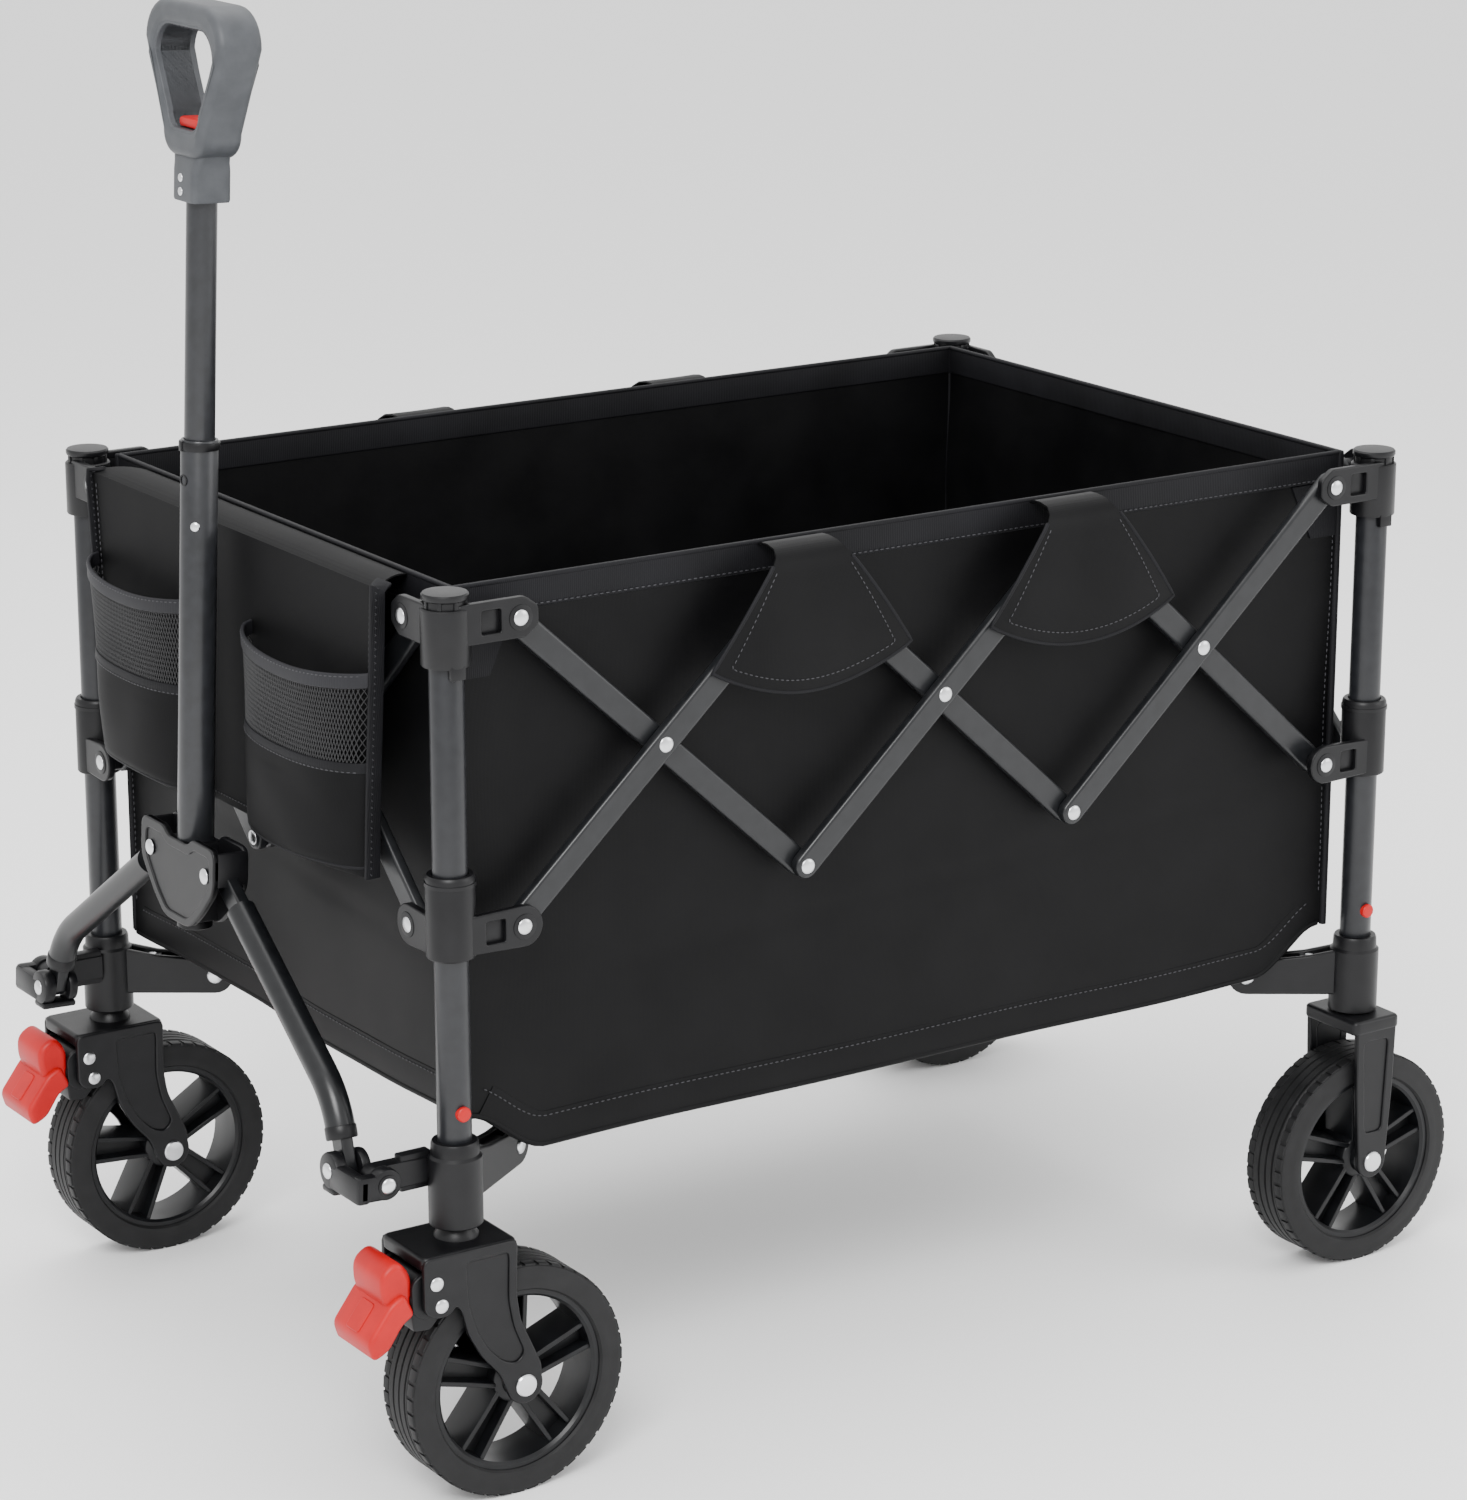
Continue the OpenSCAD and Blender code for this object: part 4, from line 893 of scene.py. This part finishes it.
def line_tree(name, stitch):
    g, i, o = new_tree(name, {"Radius": 0.0004, "Spacing": 0.0045, "Length": 0.0015}, "Thread")
    line = add(g, "GeometryNodeMeshToCurve", {"Mesh": i.outputs["Geometry"]})
    if stitch:
        steps = add(g, "GeometryNodeResampleCurve",
                    {"Curve": line.outputs["Curve"], "Length": i.outputs["Spacing"]}, mode="LENGTH")
        ball = add(g, "GeometryNodeMeshUVSphere", {"Segments": 6, "Rings": 4, "Radius": 1.0})
        size = add(g, "ShaderNodeCombineXYZ",
                   {"X": i.outputs["Radius"], "Y": i.outputs["Radius"], "Z": i.outputs["Length"]})
        grain = add(g, "GeometryNodeTransform",
                    {"Geometry": ball.outputs["Mesh"], "Scale": size.outputs["Vector"]})
        run = add(g, "GeometryNodeInputTangent")
        turn = add(g, "FunctionNodeAlignRotationToVector", {"Vector": run.outputs["Tangent"]})
        shape = add(g, "GeometryNodeInstanceOnPoints",
                    {"Points": steps.outputs["Curve"], "Instance": grain.outputs["Geometry"],
                     "Rotation": turn.outputs["Rotation"]}).outputs["Instances"]
    else:
        ring_curve = add(g, "GeometryNodeCurvePrimitiveCircle",
                         {"Resolution": 5, "Radius": i.outputs["Radius"]})
        shape = add(g, "GeometryNodeCurveToMesh",
                    {"Curve": line.outputs["Curve"], "Profile Curve": ring_curve.outputs["Curve"],
                     "Fill Caps": True}).outputs["Mesh"]
    real = add(g, "GeometryNodeRealizeInstances", {"Geometry": shape})
    smooth = add(g, "GeometryNodeSetShadeSmooth", {"Geometry": real.outputs["Geometry"]})
    done = add(g, "GeometryNodeSetMaterial",
               {"Geometry": smooth.outputs["Geometry"], "Material": i.outputs["Thread"]})
    g.links.new(done.outputs["Geometry"], o.inputs["Geometry"])
    return g

STITCH, STRAND = line_tree("stitches_on_lines", True), line_tree("strands_on_edges", False)

def wires(name, lines, tree, mat, radius, spacing=4.5, length=1.5):
    """lines: polylines in mm, or (points, edges)."""
    m = bpy.data.meshes.new(name)
    if isinstance(lines, tuple):
        v, e = lines
    else:
        v, e = [], []
        for q in lines:
            e += [(len(v) + i, len(v) + i + 1) for i in range(len(q) - 1)]; v += list(q)
    m.from_pydata([tuple(np.array(p, float) / 1000) for p in v], e, [])
    o = bpy.data.objects.new(name, m)
    bpy.context.scene.collection.objects.link(o)
    baked(o, tree, {"Radius": radius / 1000, "Spacing": spacing / 1000, "Length": length / 1000,
                    "Thread": mat}, mat)
    count["pieces"] += 1
    return o

# %% [markdown]
# Cloth can't follow a fold rigidly, as the real cloth pleats; here each wall simply rides the post
# at one of its ends.

# %% How the walls follow the fold
ALONG, ACROSS = ((1, 0, 0), (-HX / 1000, 0, 0)), ((0, 1, 0), (0, -HY / 1000, 0))
WALLS = {"left": ("post_front_left",) + ALONG, "right": ("post_front_right",) + ALONG,
         "front": ("post_front_left",) + ACROSS, "rear": ("post_rear_left",) + ACROSS}

def hang(pieces, wall):
    body, axis, anchor = WALLS[wall]
    for obj in pieces:
        if obj.parent is None:
            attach(obj, body)
        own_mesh(obj)
        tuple(axis)
        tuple(anchor)

def world(m, points):
    return [tuple(m @ Vector(p)) for p in points]

# %% [markdown]
# ## The four walls
# Each wall is one cut panel, taut at the rim and a little slack below. `slack` gives how far a
# point stands off the flat panel: a low belly, soft upright ripples, and pulls from the corners.

# %% Wall shape
def slack(u, z, half, low, seed):
    a, h = u / half, (z - low) / (Z_RIM - low)
    belly = 2.2 * (1 - a * a) * math.sin(math.pi * min(max(h, 0), 1))
    ripple = (1.3 * math.sin(5.1 * a + seed) * math.sin(2.3 * h + 0.7 * seed)
              + 0.6 * math.sin(11.7 * a + 2.9 * h + seed))
    pull = (1.7 * math.exp(-((1 - abs(a)) / 0.16) ** 2) * math.sin(9 * h + 14 * (1 - abs(a)) + seed)
            * math.sin(math.pi * min(max(h, 0), 1)))
    crease = -0.9 * math.exp(-((h - 0.33 - 0.05 * a) / 0.012) ** 2) * (1 - a * a)
    return belly + (ripple + pull) * min(1, 6 * (1 - h)) + crease

def low_edge(u, is_side):
    """Height of a wall's foot: a side wall dips below the floor except near the posts."""
    if not is_side:
        return 285.5 + 1.2 * math.sin(u / 61)
    k = min(max((abs(u) - 338) / 66, 0), 1)
    return 251.5 + 35 * (3 * k * k - 2 * k ** 3) + 0.8 * math.sin(u / 47)

def wall_panel(wall, m, half, out, is_side, seed):
    """The panel, its trims, its flat area, and the function that finds a point on its face."""
    mesh_mm, rows = 7, 58
    us = np.linspace(-half, half, int(half * 2 / mesh_mm))
    def foot(u): return low_edge(u, is_side)
    def at(u, z, lift=0): return (u, z, out - 1.6 + slack(u, z, half, foot(u), seed) + lift)
    heights = [j / (rows - 1) for j in range(rows)]
    grid = [world(m, [at(u, foot(u) + (Z_RIM - 1 - foot(u)) * h) for u in us]) for h in heights]
    o = piece(f"{wall}_wall_cloth", cloth_sheet(grid), CLOTH, None, smooth=60)
    trims = []
    # rim binding wrapped over the edge, and the hem turned up at the foot
    rim = world(m, [(u, Z_RIM - 11.5, out - 1.6) for u in np.linspace(-half + 2, half - 2, 60)])
    trims.append(piece(f"{wall}_rim_binding",
                       [tape(rim, 24, 3.4), tape([np.array(p) + (0, 0, 10.6) for p in rim], 3.4, 4.6)],
                       TAPE, None, smooth=50))
    hem_line = world(m, [at(u, foot(u) + 13) for u in us[3:-3]])
    cord_line = world(m, [at(u, foot(u) + 0.5) for u in us[1:-1]])
    trims.append(piece(f"{wall}_hem", [tape(hem_line, 26, 2.6), sweep(cord_line, ring(2.4, 12))], CLOTH,
                       None, smooth=50))
    lines = [world(m, [at(u, Z_RIM - 21, 2.0) for u in np.linspace(-half + 4, half - 4, 80)]),
             world(m, [at(u, foot(u) + 22.5, 1.5) for u in us[3:-3]])]
    for u in (7 - half, half - 7):
        lines.append(world(m, [at(u, z, 0.9) for z in np.linspace(foot(u) + 30, Z_RIM - 28, 40)]))
    trims.append(wires(f"{wall}_wall_stitches", lines, STITCH, THREAD, 0.55, 5.0, 1.7))
    return o, trims, flat_area(grid), m, at

parts_of = {}
for wall, m, half, out, is_side, seed in (("left", side(-1), BX, -20, True, 0.4),
                                          ("right", side(1), BX, -20, True, 1.9),
                                          ("front", end(-1), BY, -16, False, 3.1),
                                          ("rear", end(1), BY, -16, False, 4.2)):
    parts_of[wall] = wall_panel(wall, m, half, out, is_side, seed)
    print(wall, "wall: flat", round(2 * half), "mm wide, area", round(parts_of[wall][2], 3), "m2")

# %% [markdown]
# ## Corner seams, patches and fans
# A corded seam closes each corner. Above the middle rivets the cloth hangs on the frame by fans:
# a strip over the rivet that opens into a rounded skirt, hemmed and stitched along its edge.

# %% Corner seams and patches
for name, (sx, sy) in CORNERS.items():
    wall = "left" if sy < 0 else "right"
    line = [(sx * (BX - 1.2), sy * (BY - 1.2), z) for z in np.linspace(286, Z_RIM - 4, 40)]
    seam = sweep(line, ring(3.0, 14), up=(1, 0, 0))
    fold = block((-2.6, -2.6, Z_RIM - 25), (2.6, 2.6, Z_RIM + 0.6), 1.4)
    _, trims, _, m, at = parts_of[wall]
    steps = [i / 8 for i in range(9)]
    patch = [world(m, [at(sx * (BX - 5 - 46 * a * (1 - 0.45 * h)), Z_RIM - 24 - 44 * h, 1.4)
                       for a in steps]) for h in steps]
    shapes = [seam, moved(fold, T(sx * (BX - 1.2), sy * (BY - 1.2), 0))]
    trims.append(piece("corner_seam_" + name, shapes, TAPE, None, smooth=50))
    trims.append(piece("corner_patch_" + name, cloth_sheet(patch, 1.4), TAPE, None, smooth=50))

# %% Fans over the middle pivots
def fan(wall, i, m):
    us, x0, which = np.linspace(0, 1, 33), i * CELL / 2, "front" if i < 0 else "rear"
    # (how far out, share of the way down, lift): over the rim first, then down the wall's face
    rows = [(-19.0, 0.0, 0.5), (-14, 0.0, 2.6), (-6, 0.004, 3.2), (4, 0.015, 2.4), (10.5, 0.05, 0.8),
            (13.4, 0.11, 0)]
    rows += [(14.2 + 2.2 * math.sin(math.pi * (t - 0.11) / 0.89), t, 0) for t in np.linspace(0.17, 1, 20)]
    grid = []
    for out, t, lift in rows:
        row = []
        for a in us:
            top = -27 + 54 * a
            foot, drop = -88 + 176 * a, 84 + 25 * math.sin(math.pi * a) ** 0.85
            u = top + (foot - top) * t ** 0.94
            z = Z_RIM - 3 - (drop - 3) * t + lift
            o = out + (1.3 * math.sin(2.4 * math.pi * a + 0.9 * i + (0.5 if wall == "left" else 2)) +
                       2.2 * math.sin(math.pi * a)) * t
            row.append((x0 + u, z, o))
        grid.append(world(m, row))
    o = piece(f"{wall}_fan_{which}", cloth_sheet(grid, 1.3), CLOTH, None, smooth=60)
    g = np.array(grid); edge = list(g[5:, 0]) + list(g[-1, 1:-1]) + list(g[5:, -1][::-1])
    inset = list(g[6:-2, 2]) + list(g[-3, 2:-2]) + list(g[6:-2, -3][::-1])
    off = np.array(m.to_3x3() @ Vector((0, 0, 1)))
    trims = [piece(f"{wall}_fan_edge_{which}", sweep(edge, ring(1.5, 10), up=tuple(off)), TAPE, None,
                   smooth=50),
             wires(f"{wall}_fan_stitches_{which}", [[tuple(p + off * 0.75) for p in inset]], STITCH, THREAD,
                   0.5, 4.6, 1.6)]
    return o, trims, flat_area(grid)

for wall in ("left", "right"):
    for i in (-1, 1):
        o, trims, area = fan(wall, i, parts_of[wall][3])
        hang([o] + trims, wall)
        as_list(trims)
        print(wall, "fan area", round(area, 4))
for wall, (o, trims, *_) in parts_of.items():
    hang([o] + trims, wall)
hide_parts("basket")
for wall, (o, trims, area, *_) in parts_of.items():
    wide = 2 * (BX if wall in ("left", "right") else BY) / 1000
    high = 0.4325 if wall in ("left", "right") else 0.4
    min(area, wide * high)
    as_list(trims)
print("after the walls", count)

# %% [markdown]
# ## Floor
# The floor is cloth over the struts, sewn from four quarters. Each quarter rides the strut under it.

# %% Floor quarters
FLOOR_X, FLOOR_Y, FLOOR_Z = BX - 2.4, BY - 2.4, 287.6
for name, (sx, sy) in CORNERS.items():
    grid = []
    for i in range(31):
        v = i / 30 * FLOOR_Y; row = []
        for j in range(41):
            u = j / 40 * FLOOR_X
            dip = 0.8 * math.sin(math.pi * i / 30) * math.sin(math.pi * j / 40) + 0.25 * math.sin(u / 23 +
                    v / 31)
            row.append((sx * u, sy * v, FLOOR_Z - dip))
        grid.append(row)
    o = piece("floor_quarter_" + name, cloth_sheet(grid, 1.4), CLOTH, "strut_" + name, smooth=60)
    seams = [(None, BY - 12, 14, BX - 14, 60), (BX - 12, None, 14, BY - 14, 40),
             (6, None, 6, BY - 14, 40), (None, 6, 6, BX - 14,
                                         60)]          # x, y (None runs), from, to, steps
    lines = [[(sx * (t if x is None else x), sy * (t if y is None else y), 288.7)
              for t in np.linspace(a, b, n)]
             for x, y, a, b, n in seams]
    st = wires("floor_stitches_" + name, lines, STITCH, THREAD, 0.5, 5.0, 1.7)
    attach(st, "strut_" + name)
    for q in (o, st):
        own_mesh(q)
print("after the floor", count)

# %% [markdown]
# ## Organiser
# The organiser hangs over the front rim. Each of its two pockets is a solid cloth cup below, an
# open knitted net above, and an elastic tape round the mouth. Its outer edges are bound with tape
# and zig-zag stitched.

# %% Organiser back and cups
E, BACK = end(-1), 22.6                 # the front end's plane, and how far the back panel stands off it
P0, P1 = 36.0, 226.0                    # a pocket's inner and outer edge, from the middle
# a pocket's foot, its cup's top, its mouth, and the height where the cup turns under
PLOW, PCUP, PTOP, TUCK = 460.0, 545.0, 620.0, 474
def bulge(a, deep):
    return deep * (1 - abs(2 * a - 1) ** 2.6) ** 0.62

def along_line(line, a):
    """The point at share a of a line, by its count of points."""
    return np.array([np.interp(a, np.linspace(0, 1, len(line)), line[:, c]) for c in range(3)])

back = []
for t in np.linspace(0, 1, 42):
    z = PLOW + 2 + (Z_RIM - 3 - PLOW - 2) * t
    w = 212 + 17 * t
    back.append(world(E, [(w * a, z, BACK + 0.9 * math.sin(4.2 * a + 2 * t) * math.sin(math.pi * t))
                          for a in np.linspace(-1, 1, 61)]))
for t in np.linspace(0.12, 1, 9):                        # the top turns back over the rim
    z = Z_RIM - 3 + 3.6 * math.sin(math.pi * t) ** 0.8
    back.append(world(E, [((229 - 25 * t) * a, z, BACK - (BACK + 15.5) * t)
                          for a in np.linspace(-1, 1, 61)]))
o = piece("organiser_back", cloth_sheet(back, 1.3), CUP, None, smooth=60)
g = np.array(back)
edges = [list(g[:44, 0]), list(g[:44, -1])]
bound = [sweep(q, oblong(1.7, 6, 1.2, 3), up=(1, 0, 0)) for q in edges]
zig = []
for q in edges:
    line, path = [], np.array(q)
    length = np.concatenate([[0], np.cumsum(np.linalg.norm(np.diff(path, axis=0), axis=1))])
    for i, d in enumerate(np.arange(3, length[-1] - 3, 2.6)):
        p = [np.interp(d, length, path[:, c]) for c in range(3)]
        line.append((p[0] - 2.4, p[1] + (3.6 if i % 2 else -3.6), p[2]))
    zig.append(line)
trims = [piece("organiser_binding", bound, TAPE, None, smooth=50),
         wires("zigzag_stitches", zig, STRAND, THREAD, 0.45)]
cups = []
for s, lr in ((-1, "left"), (1, "right")):
    grid = []                           # prof: height, and share of the full depth there
    prof = [(PCUP - (PCUP - TUCK) * t, 1.0 + 0.05 * math.sin(math.pi * t)) for t in np.linspace(0, 1, 22)]
    prof += [(TUCK - 13.5 * math.sin(q), math.cos(q) ** 0.7)
             for q in np.linspace(0.15, math.pi / 2 - 0.02, 9)]
    for z, d in prof:
        row = []
        for a in np.linspace(0, 1, 49):
            u = P0 + 2 + (P1 - 18 + 18 * (z - PLOW) / (PTOP - PLOW) - P0 - 6) * a
            wr = 1.0 * math.sin(9 * a + z / 17 + s) * math.sin(math.pi * a) * min(1, (PCUP - z) / 30)
            sag = z - 2.5 * math.sin(math.pi * a) * (z > 530) - 1.5 * math.sin(7 * a + s) * (z < TUCK)
            row.append((s * u, sag, BACK + 1.2 + max(0.0, bulge(a, 27.5) * d + wr * d)))
        grid.append(world(E, row))
    cup = piece("pocket_cup_" + lr, cloth_sheet(grid, 1.3), CUP, None, smooth=60)
    top_edge, low_seam = np.array(grid[0]), np.array(grid[24])
    hem, foot = sweep(top_edge, oblong(1.3, 4, 0.9, 3)), sweep(low_seam, ring(1.5, 8))
    mouth = np.array(world(E, [(s * (P0 + 1 + (P1 - P0 - 5) * a), PTOP - 8 - 7 * math.sin(math.pi * a),
                                BACK + 1.4 + bulge(a, 28.2))
                               for a in np.linspace(0, 1, 49)]))
    band = piece("pocket_elastic_" + lr, sweep(mouth, oblong(1.5, 5.5, 1.2)), ELASTIC, None, smooth=50)
    trim = piece("pocket_seams_" + lr, [hem, foot], TAPE, None, smooth=50)
    # the net: a diamond lattice between the cup and the elastic
    nu, nv = 66, 17; pts, eds = [], []
    for j in range(nv + 1):
        for i in range(nu + 1):
            a = (i + 0.5 * (j % 2)) / (nu + 0.5); h = j / nv
            low, high = along_line(top_edge, a), along_line(mouth, a)
            p = low + (high - low) * h; p[0] += 2.2 * math.sin(math.pi * h) * math.sin(math.pi * a)
            pts.append(tuple(p))
            if j:
                here, below, aside = j * (nu + 1) + i, (j - 1) * (nu + 1) + i, 1 if j % 2 else -1
                eds.append((below, here))
                if 0 <= i + aside <= nu:
                    eds.append((below + aside, here))
    net = wires("pocket_net_" + lr, (pts, eds), STRAND, NET, 0.5)
    stitch = wires("pocket_stitches_" + lr, [top_edge + (-1.5, 0, -3), mouth + (-1.6, 0, 3.5)], STITCH,
                   THREAD, 0.5, 4.6, 1.6)
    cups.append((cup, [trim, band, net, stitch], flat_area(grid)))
lines = [[(-HX - BACK - 1.4, k * (204 + 17 * (z - PLOW) / (Z_RIM - PLOW)), z)
          for z in np.linspace(PLOW + 8, Z_RIM - 12, 60)]
         for k in (-1, 1)]
lines.append([(-HX - BACK - 1.0, u, PLOW + 8) for u in np.linspace(-30, 30, 20)])
trims.append(wires("organiser_stitches", lines, STITCH, THREAD, 0.5, 4.6, 1.6))
hang([o] + trims, "front")
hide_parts("pockets")
min(flat_area(back), 0.462 * 0.262)
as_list(trims)
for cup, extra, area in cups:
    hang([cup] + extra, "front")
    min(area, 0.25 * 0.125)
print("after the organiser", count)

# %% [markdown]
# ## Studio
# A plain pale floor that runs out of sight, an even pale sky for soft fill, and three large lamps:
# a key from the front left, a weaker fill from the rear and one overhead to open up the tub.

# %% Floor, sky and lamps
FLOOR, _t, _b, _w = material("studio_floor", "#ffffff", 0.6)
_n = add(_t, "ShaderNodeTexNoise", {"Vector": _w, "Scale": 2.0})
bump(_t, _b, _n.outputs["Fac"], 0.05, 1.0)
sweep_mesh = bpy.data.meshes.new("studio_floor")
sweep_mesh.from_pydata([(-15, -15, 0), (15, -15, 0), (15, 15, 0), (-15, 15, 0)], [], [(0, 1, 2, 3)])
sweep_mesh.materials.append(FLOOR)
ground = bpy.data.objects.new("studio_floor", sweep_mesh)
bpy.context.scene.collection.objects.link(ground)
SKY_LIGHT = 1.5
sky = bpy.context.scene.world or bpy.data.worlds.new("sky")
bpy.context.scene.world = sky
sky.use_nodes = True
sky.node_tree.nodes["Background"].inputs[0].default_value = linear("#ffffff")
sky.node_tree.nodes["Background"].inputs[1].default_value = SKY_LIGHT

def lamp(name, at, size, watts, target=(0, 0, 0.4)):
    d = bpy.data.lights.new(name, "AREA")
    d.shape, d.size, d.energy = "SQUARE", size, watts
    o = bpy.data.objects.new(name, d)
    bpy.context.scene.collection.objects.link(o)
    o.location = at
    o.rotation_euler = (Vector(target) - Vector(at)).to_track_quat("-Z", "Y").to_euler()

lamp("key", (-2.2, -2.4, 3.0), 1.6, 150)
lamp("fill", (2.6, -2.6, 1.8), 2.2, 45)
lamp("top", (0, 0.6, 3.2), 2.5, 60)
print("lamps", len(bpy.data.lights))

# %% [markdown]
# ## Camera
# A long lens about 3.8 m away, 16 degrees above the floor and 33.5 degrees round from the left side.

# %% Camera
AZIMUTH, ELEVATION, FOCAL_SHARE = math.radians(-33.5136), math.radians(16.0004), 4502.4 / 1500
cam = bpy.data.cameras.new("camera")
eye = bpy.data.objects.new("camera", cam)
bpy.context.scene.collection.objects.link(eye)
bpy.context.scene.camera = eye
look = Vector((-math.sin(AZIMUTH) * math.cos(ELEVATION), math.cos(AZIMUTH) * math.cos(ELEVATION),
               -math.sin(ELEVATION)))
eye.location = (-1.9405, -2.9348, 1.445)
eye.rotation_euler = look.to_track_quat("-Z", "Y").to_euler()
cam.sensor_fit, cam.sensor_width, cam.lens, cam.clip_end = "AUTO", 36, FOCAL_SHARE * 36, 60
print("lens", round(cam.lens, 1), "mm")
